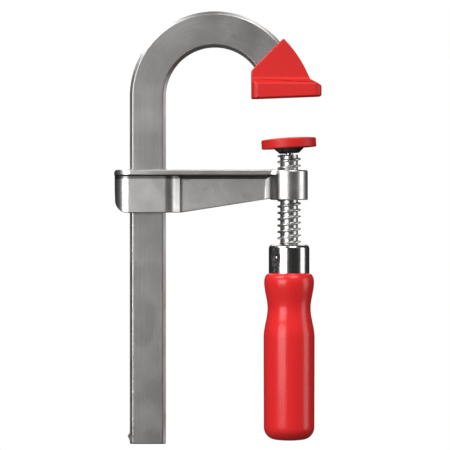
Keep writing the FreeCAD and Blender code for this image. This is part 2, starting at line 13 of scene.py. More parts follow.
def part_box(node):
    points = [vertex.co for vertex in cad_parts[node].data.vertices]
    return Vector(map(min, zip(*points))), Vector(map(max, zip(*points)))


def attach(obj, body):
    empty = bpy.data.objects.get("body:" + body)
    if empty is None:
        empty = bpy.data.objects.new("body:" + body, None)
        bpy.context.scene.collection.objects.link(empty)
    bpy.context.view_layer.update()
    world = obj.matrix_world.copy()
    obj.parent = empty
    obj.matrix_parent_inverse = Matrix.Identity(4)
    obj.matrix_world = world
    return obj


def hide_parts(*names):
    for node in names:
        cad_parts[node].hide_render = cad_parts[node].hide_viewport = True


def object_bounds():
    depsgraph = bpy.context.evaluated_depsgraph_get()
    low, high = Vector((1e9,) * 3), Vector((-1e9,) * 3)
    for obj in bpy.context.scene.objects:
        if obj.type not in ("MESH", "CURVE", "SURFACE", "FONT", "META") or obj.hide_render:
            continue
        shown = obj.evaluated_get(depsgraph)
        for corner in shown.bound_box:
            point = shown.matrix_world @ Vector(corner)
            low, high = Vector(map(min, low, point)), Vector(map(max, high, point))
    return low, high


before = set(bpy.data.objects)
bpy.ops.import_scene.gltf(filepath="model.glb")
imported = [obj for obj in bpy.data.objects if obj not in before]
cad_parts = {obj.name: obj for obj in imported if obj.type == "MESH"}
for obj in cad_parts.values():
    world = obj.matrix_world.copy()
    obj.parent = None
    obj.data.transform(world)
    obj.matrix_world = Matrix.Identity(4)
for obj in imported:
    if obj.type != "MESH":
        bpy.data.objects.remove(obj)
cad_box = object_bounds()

LOG = logging.getLogger("bar_clamp")
MM = 0.001
Colour = tuple[float, float, float]
Profile = list[tuple[float, float]]
FLOAT = "NodeSocketFloat"
VECTOR = "NodeSocketVector"
SHADER_TREE = "ShaderNodeTree"
GEOMETRY_TREE = "GeometryNodeTree"
WELD = 0.0005 * MM
SHARP = 24.0
# Grey that the arm's colour is mixed towards as painted shade under its rim and beside its
# boss.
PAINTED_SHADE_GREY: Colour = (0.05, 0.05, 0.05)


class Body(Enum):
    """The moving bodies of the frame that a piece can ride on."""

    RAIL = "rail"
    ARM = "arm"
    PAD_SEAT = "pad_seat"
    SCREW = "screw"
    PAD = "pad"


class Slot(Enum):
    """The record's material slots."""

    RAIL = "rail_steel"
    JAW = "jaw_plastic"
    ARM = "arm_zinc"
    SPINDLE = "spindle_steel"
    PLATE = "plate_steel"
    FERRULE = "ferrule_steel"
    HANDLE = "handle_wood"


# ---------------------------------------------------------------- node trees

class Graph:
    """A node tree being wired, with short calls for nodes and links."""

    def __init__(self, tree: bpy.types.NodeTree) -> None:
        """Starts on a tree that nodes are added to."""
        self.tree = tree

    def feed(self, socket: bpy.types.NodeSocket, value: Any) -> None:
        """Links a value's socket into an input, or sets the input's constant."""
        if isinstance(value, bpy.types.NodeSocket):
            self.tree.links.new(value, socket)
        else:
            socket.default_value = value

    def add(self, kind: str, inputs: Optional[dict] = None, **settings: Any) -> bpy.types.Node:
        """Adds one node.

        Args:
            kind: the node's type name.
            inputs: socket name or index to a value or an output.
            settings: the node's own properties.

        Returns:
            The new node.
        """
        node = self.tree.nodes.new(kind)
        for name, value in settings.items():
            setattr(node, name, value)
        for key, value in (inputs or {}).items():
            self.feed(node.inputs[key], value)
        return node

    def math(self, operation: str, *values: Any, clamp: bool = False) -> bpy.types.NodeSocket:
        """Adds a Math node and returns its result."""
        node = self.add("ShaderNodeMath", dict(enumerate(values)), operation=operation,
                        use_clamp=clamp)
        return node.outputs[0]

    def vector(self, operation: str, *values: Any) -> bpy.types.NodeSocket:
        """Adds a Vector Math node and returns its vector."""
        node = self.add("ShaderNodeVectorMath", dict(enumerate(values)), operation=operation)
        return node.outputs[0]

    def remap(self, value: Any, low: float, high: float, to_low: Any = 0.0,
              to_high: Any = 1.0) -> bpy.types.NodeSocket:
        """Maps a value from one range to another, clamped to the second."""
        node = self.add("ShaderNodeMapRange", {
            "Value": value, "From Min": low, "From Max": high,
            "To Min": to_low, "To Max": to_high,
        })
        return node.outputs[0]

    def mix(self, factor: Any, first: Any, second: Any) -> bpy.types.NodeSocket:
        """Mixes two colours: factor 0 gives the first and 1 the second."""
        node = self.add("ShaderNodeMix", data_type="RGBA")
        self.feed(node.inputs[0], factor)
        self.feed(node.inputs[6], first)
        self.feed(node.inputs[7], second)
        return node.outputs[2]

    def noise(self, vector: Any, scale: Any, detail: float = 3.0,
              roughness: float = 0.55) -> bpy.types.NodeSocket:
        """Adds a Noise Texture and returns its value."""
        node = self.add("ShaderNodeTexNoise", {
            "Vector": vector, "Scale": scale, "Detail": detail, "Roughness": roughness,
        })
        return node.outputs[0]


def new_group(name: str, kind: str, inputs: dict[str, tuple[str, Any]],
              outputs: dict[str, str]) -> tuple[Graph, Any, Any]:
    """Starts a node group with named sockets.

    Args:
        name: the group's name.
        kind: the tree's type.
        inputs: socket name to its type and default.
        outputs: socket name to its type.

    Returns:
        The graph, the group's given values and its result sockets, both by name.
    """
    tree = bpy.data.node_groups.new(name, kind)
    for label, (socket_type, default) in inputs.items():
        socket = tree.interface.new_socket(label, in_out="INPUT", socket_type=socket_type)
        if default is not None:
            socket.default_value = default
    for label, socket_type in outputs.items():
        tree.interface.new_socket(label, in_out="OUTPUT", socket_type=socket_type)
    graph = Graph(tree)
    return graph, graph.add("NodeGroupInput").outputs, graph.add("NodeGroupOutput").inputs


def build_streaks() -> bpy.types.NodeTree:
    """Fine lines that run along the first axis of the vector, as rolling leaves them."""
    graph, given, result = new_group("Rolling streaks", SHADER_TREE, {
        "Vector": (VECTOR, None), "Along": (FLOAT, 40.0), "Across": (FLOAT, 1800.0),
    }, {"Mask": FLOAT, "Height": FLOAT})
    stretch = graph.add("ShaderNodeCombineXYZ", {
        0: given["Along"], 1: given["Across"], 2: given["Across"],
    })
    stretched = graph.vector("MULTIPLY", given["Vector"], stretch.outputs[0])
    fine = graph.noise(stretched, 1.0, 4.0, 0.6)
    broad = graph.noise(stretched, 0.17, 2.0, 0.5)
    mask = graph.math("MULTIPLY_ADD", broad, 0.45, graph.math("MULTIPLY", fine, 0.55))
    graph.feed(result["Mask"], graph.remap(mask, 0.34, 0.66))
    graph.feed(result["Height"], fine)
    return graph.tree


def build_mottle() -> bpy.types.NodeTree:
    """Cloudy unevenness at two sizes, as on a tumbled casting or a moulding."""
    graph, given, result = new_group("Surface mottle", SHADER_TREE, {
        "Vector": (VECTOR, None), "Scale": (FLOAT, 300.0),
    }, {"Mask": FLOAT, "Height": FLOAT})
    scale = given["Scale"]
    broad = graph.noise(given["Vector"], scale, 4.0, 0.6)
    fine = graph.noise(given["Vector"], graph.math("MULTIPLY", scale, 7.0), 2.0)
    graph.feed(result["Mask"], graph.remap(broad, 0.32, 0.68))
    graph.feed(result["Height"],
               graph.math("MULTIPLY_ADD", fine, 0.35, graph.math("MULTIPLY", broad, 0.65)))
    return graph.tree


def build_handling() -> bpy.types.NodeTree:
    """Faint smudges and fine scratches that hands and shelves leave on any surface."""
    graph, given, result = new_group("Handling marks", SHADER_TREE, {
        "Vector": (VECTOR, None), "Smudge Scale": (FLOAT, 60.0),
        "Scratch Scale": (FLOAT, 260.0), "Amount": (FLOAT, 0.5),
    }, {"Mask": FLOAT})
    smudge = graph.noise(given["Vector"], given["Smudge Scale"], 5.0, 0.62)
    cells = graph.add("ShaderNodeTexVoronoi", {
        "Vector": graph.vector("ADD", given["Vector"],
                               graph.vector("MULTIPLY", given["Vector"],
                                            (0.4, -0.7, 0.2))),
        "Scale": given["Scratch Scale"],
    }, feature="DISTANCE_TO_EDGE")
    scratch = graph.remap(cells.outputs["Distance"], 0.0, 0.02, 1.0, 0.0)
    broken = graph.math("MULTIPLY", scratch, graph.remap(smudge, 0.5, 0.62))
    cloud = graph.remap(smudge, 0.42, 0.7)
    total = graph.math("MULTIPLY_ADD", broken, 0.6, cloud, clamp=True)
    graph.feed(result["Mask"], graph.math("MULTIPLY", total, given["Amount"]))
    return graph.tree


def build_wood_grain() -> bpy.types.NodeTree:
    """Long grain and pores along Z, which show faintly through lacquer."""
    graph, given, result = new_group("Wood grain", SHADER_TREE, {
        "Vector": (VECTOR, None), "Rings": (FLOAT, 420.0), "Stretch": (FLOAT, 0.035),
    }, {"Mask": FLOAT, "Pores": FLOAT})
    squeeze = graph.add("ShaderNodeCombineXYZ", {0: 1.0, 1: 1.0, 2: given["Stretch"]})
    grain = graph.vector("MULTIPLY", given["Vector"], squeeze.outputs[0])
    bands = graph.noise(grain, given["Rings"], 3.0, 0.5)
    pores = graph.noise(grain, graph.math("MULTIPLY", given["Rings"], 6.0), 2.0, 0.7)
    graph.feed(result["Mask"], graph.remap(bands, 0.35, 0.65))
    graph.feed(result["Pores"], graph.remap(pores, 0.55, 0.72))
    return graph.tree


def build_painted_shade() -> bpy.types.NodeTree:
    """Painted shade: a mask that darkens the hollow under the rim and the side of the spindle
    boss, standing in for shadow and dark reflections there.
    """
    graph, given, result = new_group("Painted shade in recesses", SHADER_TREE, {
        "Vector": (VECTOR, None), "Rim Foot": (FLOAT, 0.0), "Cove": (FLOAT, 0.0),
        "Boss Side": (FLOAT, 0.0), "Boss Reach": (FLOAT, 0.0), "Soft": (FLOAT, 0.0004),
    }, {"Mask": FLOAT})
    place = graph.add("ShaderNodeSeparateXYZ", {0: given["Vector"]})

    x, _, z = place.outputs
    rim, boss = given["Rim Foot"], given["Boss Side"]

    def past(value: Any, limit: Any) -> bpy.types.NodeSocket:
        """Rises from 0 at the limit to 1 at the soft distance past it."""
        return graph.math("DIVIDE", graph.math("SUBTRACT", value, limit), given["Soft"],
                          clamp=True)

    def band(value: Any, high: Any, reach: Any) -> bpy.types.NodeSocket:
        """One within a reach under a limit, with soft ends."""
        return graph.math("MULTIPLY", past(value, graph.math("SUBTRACT", high, reach)),
                          past(high, value))

    under = graph.math("MULTIPLY", band(z, rim, given["Cove"]), past(boss, x))
    beside = graph.math("MULTIPLY", band(x, boss, given["Boss Reach"]),
                        graph.math("LESS_THAN", z, rim))
    graph.feed(result["Mask"], graph.math("MAXIMUM", under, beside))
    return graph.tree


class Effect(Enum):
    """Shader groups that several finishes share; each value builds its tree once."""

    STREAKS = ("Rolling streaks", build_streaks)
    MOTTLE = ("Surface mottle", build_mottle)
    HANDLING = ("Handling marks", build_handling)
    # Painted shade for the arm's recesses.
    RECESS_SHADE = ("Painted shade in recesses", build_painted_shade)
    WOOD_GRAIN = ("Wood grain", build_wood_grain)

    def tree(self) -> bpy.types.NodeTree:
        """Returns the group's tree, built on the first call."""
        name, build = self.value
        return bpy.data.node_groups.get(name) or build()

    def use(self, graph: Graph, inputs: dict) -> bpy.types.Node:
        """Places the group in a material, feeds its inputs and returns its node."""
        node = graph.add("ShaderNodeGroup", node_tree=self.tree())
        for key, value in inputs.items():
            graph.feed(node.inputs[key], value)
        return node


# ---------------------------------------------------------------- finishes

def rgba(colour: Colour) -> tuple[float, float, float, float]:
    """A colour with full alpha."""
    return (*colour, 1.0)


@dataclass(frozen=True)
class Finish:
    """A surface finish. Subclasses wire their pattern into the Principled shader."""

    name: str
    colour: Colour
    shade: Colour
    roughness: float
    roughness_swing: float

    def material(self) -> bpy.types.Material:
        """Returns the material, built on the first call."""
        found = bpy.data.materials.get(self.name)
        if found:
            return found
        material = bpy.data.materials.new(self.name)
        material.use_nodes = True
        graph = Graph(material.node_tree)
        shader = material.node_tree.nodes["Principled BSDF"]
        self.wire(graph, shader)
        return material

    def wire(self, graph: Graph, shader: bpy.types.Node) -> None:
        """Feeds the Principled shader from the graph; each finish has its own."""
        raise NotImplementedError

    def place(self, graph: Graph) -> bpy.types.NodeSocket:
        """The object coordinate, in metres, that patterns are laid on."""
        return graph.add("ShaderNodeTexCoord").outputs["Object"]

    def tone(self, graph: Graph, shader: bpy.types.Node, mask: Any, marks: Any) -> None:
        """Colour from a mask, and roughness from the mask and handling marks.

        Args:
            graph: the material's graph.
            shader: its Principled BSDF.
            mask: the pattern, 0 to 1.
            marks: smudges that dull the surface, 0 to 1.
        """
        colour = graph.mix(mask, rgba(self.shade), rgba(self.colour))
        graph.feed(shader.inputs["Base Color"], colour)
        swing = graph.math("MULTIPLY_ADD", mask, -self.roughness_swing,
                           self.roughness + self.roughness_swing / 2)
        rough = graph.math("MULTIPLY_ADD", marks, self.roughness_swing, swing, clamp=True)
        graph.feed(shader.inputs["Roughness"], rough)

    def relief(self, graph: Graph, shader: bpy.types.Node, height: Any, strength: float,
               distance: float) -> None:
        """Feeds a height to the shader's normal through a Bump node.

        Args:
            graph: the material's graph.
            shader: its Principled BSDF.
            height: the pattern's height.
            strength: how much of the bump is used.
            distance: the height in metres that 1 stands for.
        """
        bump = graph.add("ShaderNodeBump", {
            "Strength": strength, "Distance": distance, "Height": height,
        })
        graph.feed(shader.inputs["Normal"], bump.outputs[0])


@dataclass(frozen=True)
class RolledSteel(Finish):
    """Flat bar as it comes from the rolls: satin, with streaks along it."""

    along: float = 26.0
    across: float = 1500.0
    cloud: float = 70.0

    def wire(self, graph: Graph, shader: bpy.types.Node) -> None:
        """Streaks follow the bar's own map, so they go round the bend with it."""
        along_bar = graph.add("ShaderNodeUVMap", uv_map=HookRail.UV).outputs[0]
        place = self.place(graph)
        streaks = Effect.STREAKS.use(graph, {
            "Vector": along_bar, "Along": self.along, "Across": self.across,
        })
        cloud = Effect.MOTTLE.use(graph, {"Vector": place, "Scale": self.cloud})
        marks = Effect.HANDLING.use(graph, {"Vector": place, "Amount": 0.6})
        mask = graph.math("MULTIPLY_ADD", cloud.outputs["Mask"], 0.35,
                          graph.math("MULTIPLY", streaks.outputs["Mask"], 0.65))
        shader.inputs["Metallic"].default_value = 1.0
        self.tone(graph, shader, mask, marks.outputs["Mask"])
        self.relief(graph, shader, streaks.outputs["Height"], 0.35, 0.02 * MM)


@dataclass(frozen=True)
class CastZinc(Finish):
    """Die casting, tumbled smooth: faint clouds, a fine skin and painted shade in its recesses.
    """

    scale: float = 190.0
    skin: float = 0.025 * MM
    # Where the painted shade lies under the rim and beside the boss, and how dark it is.
    rim_foot: float = -42.6 * MM
    cove: float = 2.7 * MM
    boss_side: float = -5.8 * MM
    boss_reach: float = 7.2 * MM
    painted_shade: float = 0.75

    def wire(self, graph: Graph, shader: bpy.types.Node) -> None:
        """Clouds of two greys, with a little relief and painted shade in the recesses."""
        place = self.place(graph)
        mottle = Effect.MOTTLE.use(graph, {"Vector": place, "Scale": self.scale})
        marks = Effect.HANDLING.use(graph, {"Vector": place, "Smudge Scale": 90.0,
                                            "Amount": 0.7})
        shader.inputs["Metallic"].default_value = 1.0
        self.tone(graph, shader, mottle.outputs["Mask"], marks.outputs["Mask"])
        self.relief(graph, shader, mottle.outputs["Height"], 0.5, self.skin)
        # Painted shade: darkens the colour under the rim and beside the boss, where shadow and
        # dark reflections fall.
        painted_shade = Effect.RECESS_SHADE.use(graph, {
            "Vector": place, "Rim Foot": self.rim_foot, "Cove": self.cove,
            "Boss Side": self.boss_side, "Boss Reach": self.boss_reach,
        })
        unshaded_colour = shader.inputs["Base Color"].links[0].from_socket
        painted_shade_colour = graph.mix(graph.math("MULTIPLY", painted_shade.outputs["Mask"], self.painted_shade), unshaded_colour,
                           rgba(PAINTED_SHADE_GREY))
        graph.feed(shader.inputs["Base Color"], painted_shade_colour)


@dataclass(frozen=True)
class TurnedSteel(Finish):
    """Steel turned or rolled about its axis: fine rings round Z."""

    rings: float = 9000.0
    ring_height: float = 0.004 * MM

    def wire(self, graph: Graph, shader: bpy.types.Node) -> None:
        """Rings from noise squeezed along Z, and light handling marks."""
        place = self.place(graph)
        flat = graph.vector("MULTIPLY", place, (0.05, 0.05, 1.0))
        rings = graph.noise(flat, self.rings, 2.0, 0.5)
        marks = Effect.HANDLING.use(graph, {"Vector": place, "Smudge Scale": 150.0,
                                            "Scratch Scale": 500.0, "Amount": 0.7})
        shader.inputs["Metallic"].default_value = 1.0
        self.tone(graph, shader, graph.remap(rings, 0.35, 0.65), marks.outputs["Mask"])
        self.relief(graph, shader, rings, 0.4, self.ring_height)


@dataclass(frozen=True)
class MouldedPlastic(Finish):
    """Coloured plastic from a lightly textured mould."""

    texture: float = 1500.0
    texture_height: float = 0.012 * MM

    def wire(self, graph: Graph, shader: bpy.types.Node) -> None:
        """Fine even texture, slow colour drift, and handling marks in the gloss."""
        place = self.place(graph)
        drift = Effect.MOTTLE.use(graph, {"Vector": place, "Scale": 55.0})
        skin = Effect.MOTTLE.use(graph, {"Vector": place, "Scale": self.texture})
        marks = Effect.HANDLING.use(graph, {"Vector": place, "Amount": 0.5})
        shader.inputs["IOR"].default_value = 1.4
        self.tone(graph, shader, drift.outputs["Mask"], marks.outputs["Mask"])
        self.relief(graph, shader, skin.outputs["Height"], 0.6, self.texture_height)


@dataclass(frozen=True)
class LacqueredWood(Finish):
    """Turned wood under coloured lacquer: glossy coat, grain just showing."""

    ripple: float = 260.0
    ripple_height: float = 0.05 * MM

    def wire(self, graph: Graph, shader: bpy.types.Node) -> None:
        """Grain tints the paint and, with a slow ripple, waves the coat."""
        place = self.place(graph)
        grain = Effect.WOOD_GRAIN.use(graph, {"Vector": place})
        ripple = Effect.MOTTLE.use(graph, {"Vector": place, "Scale": self.ripple})
        marks = Effect.HANDLING.use(graph, {"Vector": place, "Smudge Scale": 45.0,
                                            "Amount": 0.5})
        shader.inputs["IOR"].default_value = 1.38
        shader.inputs["Coat Weight"].default_value = 0.2
        shader.inputs["Coat Roughness"].default_value = 0.08
        self.tone(graph, shader, grain.outputs["Mask"], marks.outputs["Mask"])
        height = graph.math("MULTIPLY_ADD", grain.outputs["Pores"], -0.25,
                            graph.math("MULTIPLY_ADD", grain.outputs["Mask"], 0.3,
                                       ripple.outputs["Mask"]))
        self.relief(graph, shader, height, 0.35, self.ripple_height)


RAIL_STEEL = RolledSteel("rolled_rail_steel", (0.60, 0.585, 0.575), (0.36, 0.35, 0.345),
                         0.33, 0.12)
ARM_ZINC = CastZinc("die_cast_zinc", (0.76, 0.745, 0.73), (0.66, 0.65, 0.64), 0.345, 0.06)
SPINDLE_STEEL = TurnedSteel("bright_spindle_steel", (0.74, 0.73, 0.72), (0.52, 0.51, 0.50),
                            0.34, 0.08)
PLATE_STEEL = TurnedSteel("blackened_plate_steel", (0.13, 0.135, 0.14), (0.06, 0.065, 0.07),
                          0.30, 0.12)
FERRULE_NICKEL = TurnedSteel("polished_ferrule_nickel", (0.76, 0.75, 0.74),
                             (0.66, 0.65, 0.64), 0.19, 0.06, 6000.0, 0.0015 * MM)
JAW_RED = MouldedPlastic("moulded_red_plastic", (0.72, 0.022, 0.019), (0.68, 0.018, 0.016),
                         0.42, 0.10)
HANDLE_RED = LacqueredWood("red_lacquered_wood", (0.90, 0.030, 0.032), (0.86, 0.026, 0.028),
                           0.26, 0.08)


# ---------------------------------------------------------------- shapes

def on_arc(centre: tuple[float, float], radius: float, degrees: float) -> tuple[float, float]:
    """A point of a circle at an angle from the first axis."""
    angle = math.radians(degrees)
    return (centre[0] + radius * math.cos(angle), centre[1] + radius * math.sin(angle))


def rounded(corners: Sequence[tuple[float, float, float]], steps: int = 6,
            closed: bool = False) -> Profile:
    """An outline through corners, each rounded by its own radius.

    Args:
        corners: first coordinate, second coordinate and radius of each corner.
        steps: points on each rounding.
        closed: whether the last corner joins the first.

    Returns:
        The outline's points.
    """
    points: Profile = []
    count = len(corners)
    for index, (x, z, radius) in enumerate(corners):
        inner = closed or 0 < index < count - 1
        if radius <= 0 or not inner:
            points.append((x, z))
            continue
        here = Vector((x, z))
        back = (Vector(corners[index - 1][:2]) - here).normalized()
        ahead = (Vector(corners[(index + 1) % count][:2]) - here).normalized()
        half = back.angle(ahead) / 2
        reach = radius / math.tan(half)
        centre = here + (back + ahead).normalized() * (radius / math.sin(half))
        start = here + back * reach - centre
        turn = start.angle_signed(here + ahead * reach - centre)
        for step in range(steps + 1):
            spoke = start.copy()
            spoke.rotate(Matrix.Rotation(-turn * step / steps, 2))
            points.append(tuple(centre + spoke))
    return points


def eased(start: tuple[float, float], end: tuple[float, float], steps: int) -> Profile:
    """A side that leaves and arrives upright, without its first point."""
    points: Profile = []
    for step in range(1, steps + 1):
        t = step / steps
        share = t * t * (3 - 2 * t)
        points.append((start[0] + (end[0] - start[0]) * share,
                       start[1] + (end[1] - start[1]) * t))
    return points


def linked(name: str, data: Any) -> bpy.types.Object:
    """Puts a mesh, light or camera into the scene as an object at the origin."""
    made = bpy.data.objects.new(name, data)
    bpy.context.scene.collection.objects.link(made)
    return made


def as_mesh(name: str, shape: bmesh.types.BMesh) -> bpy.types.Mesh:
    """Turns a working mesh into mesh data and frees it."""
    mesh = bpy.data.meshes.new(name)
    shape.to_mesh(mesh)
    shape.free()
    return mesh


def from_bmesh(name: str, shape: bmesh.types.BMesh) -> bpy.types.Object:
    """Turns a working mesh into an object, merged and with its faces outward."""
    bmesh.ops.remove_doubles(shape, verts=shape.verts, dist=WELD)
    bmesh.ops.dissolve_degenerate(shape, edges=shape.edges, dist=WELD)
    bmesh.ops.recalc_face_normals(shape, faces=shape.faces)
    return linked(name, as_mesh(name, shape))


def lathe(profile: Profile, segments: int, closed: bool = False) -> bmesh.types.BMesh:
    """Turns a profile about Z.

    Args:
        profile: radius and height of each point; radius 0 makes a pole.
        segments: steps round the axis.
        closed: whether the last point joins the first, as on a sleeve.

    Returns:
        The working mesh.
    """
    shape = bmesh.new()
    rings = []
    for radius, height in profile:
        count = segments if radius > 1e-9 else 1
        ring = []
        for step in range(count):
            angle = 2 * math.pi * step / segments
            ring.append(shape.verts.new((radius * math.cos(angle),
                                         radius * math.sin(angle), height)))
        rings.append(ring)
    pairs = list(zip(rings, rings[1:]))
    if closed:
        pairs.append((rings[-1], rings[0]))
    for low, high in pairs:
        for step in range(segments):
            after = (step + 1) % segments
            corners = [low[step % len(low)], low[after % len(low)],
                       high[after % len(high)], high[step % len(high)]]
            distinct = list(dict.fromkeys(corners))
            if len(distinct) > 2:
                shape.faces.new(distinct)
    return shape


def smooth(piece: bpy.types.Object, sharp_degrees: float,
           flat_faced: bool = False) -> None:
    """Shades a piece smooth, with edges sharper than an angle left crisp."""
    piece.data.shade_smooth()
    piece.data.set_sharp_from_angle(angle=math.radians(sharp_degrees))
    if not flat_faced:
        return
    weighting = piece.modifiers.new("weighting", "WEIGHTED_NORMAL")
    weighting.mode = "FACE_AREA"
    weighting.weight = 100
    weighting.keep_sharp = True
    baked(piece)


def baked(piece: bpy.types.Object) -> None:
    """Replaces a piece's mesh by what its modifiers make, and removes them."""
    depsgraph = bpy.context.evaluated_depsgraph_get()
    depsgraph.update()
    result = bpy.data.meshes.new_from_object(piece.evaluated_get(depsgraph))
    piece.modifiers.clear()
    old = piece.data
    piece.data = result
    result.name = piece.name
    bpy.data.meshes.remove(old)


def run_nodes(piece: bpy.types.Object, tree: bpy.types.NodeTree,
              values: dict[str, Any]) -> None:
    """Runs a geometry tree on a piece and keeps the plain mesh.

    Args:
        piece: the object whose mesh goes in.
        tree: the geometry tree.
        values: the tree's named inputs.
    """
    modifier = piece.modifiers.new(tree.name, "NODES")
    modifier.node_group = tree
    for item in tree.interface.items_tree:
        if item.in_out == "INPUT" and item.name in values:
            modifier[item.identifier] = values[item.name]
    baked(piece)


def cad_copy(name: str, node: str, angle: float = 0.6) -> bpy.types.Object:
    """A welded copy of a CAD node with its flat faces made whole again.

    Args:
        name: the copy's name.
        node: the CAD node.
        angle: degrees within which faces count as one flat face.

    Returns:
        The copy.
    """
    shape = bmesh.new()
    shape.from_mesh(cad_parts[node].data)
    for layer in list(shape.loops.layers.uv):
        shape.loops.layers.uv.remove(layer)
    bmesh.ops.remove_doubles(shape, verts=shape.verts, dist=0.002 * MM)
    bmesh.ops.dissolve_limit(shape, angle_limit=math.radians(angle), verts=shape.verts,
                             edges=shape.edges)
    return linked(name, as_mesh(name, shape))


def soften(piece: bpy.types.Object, width: float, segments: int,
           chosen: Callable[[bmesh.types.BMEdge], bool]) -> None:
    """Rounds a piece's sharp edges.

    Args:
        piece: the object to change.
        width: reach of the rounding on each side of the edge.
        segments: faces across the rounding.
        chosen: which sharp edges to take.
    """
    shape = bmesh.new()
    shape.from_mesh(piece.data)
    limit = math.radians(SHARP)
    edges = [e for e in shape.edges
             if len(e.link_faces) == 2 and e.calc_face_angle(0.0) > limit and chosen(e)]
    bmesh.ops.bevel(shape, geom=edges, offset=width, offset_type="OFFSET",
                    segments=segments, profile=0.5, affect="EDGES", clamp_overlap=False,
                    harden_normals=False)
    shape.to_mesh(piece.data)
    shape.free()


def coat(piece: bpy.types.Object, finish: Finish) -> None:
    """Makes a finish the only material of a piece."""
    piece.data.materials.clear()
    piece.data.materials.append(finish.material())


def dress(piece: bpy.types.Object, finish: Finish, body: Body, slot: Slot,
          *nodes: str) -> None:
    """Gives a piece its finish and its place on the frame, and reports it.

    Args:
        piece: the finished object.
        finish: what its surface is.
        body: the body that it rides on.
        slot: the record's slot that the piece belongs to; not used.
        nodes: the CAD nodes that it stands for.
    """
    coat(piece, finish)
    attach(piece, body.value)
    if nodes:
        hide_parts(*nodes)
    LOG.info("%s: %d faces on %s", piece.name, len(piece.data.polygons), body.value)


# ---------------------------------------------------------------- rail

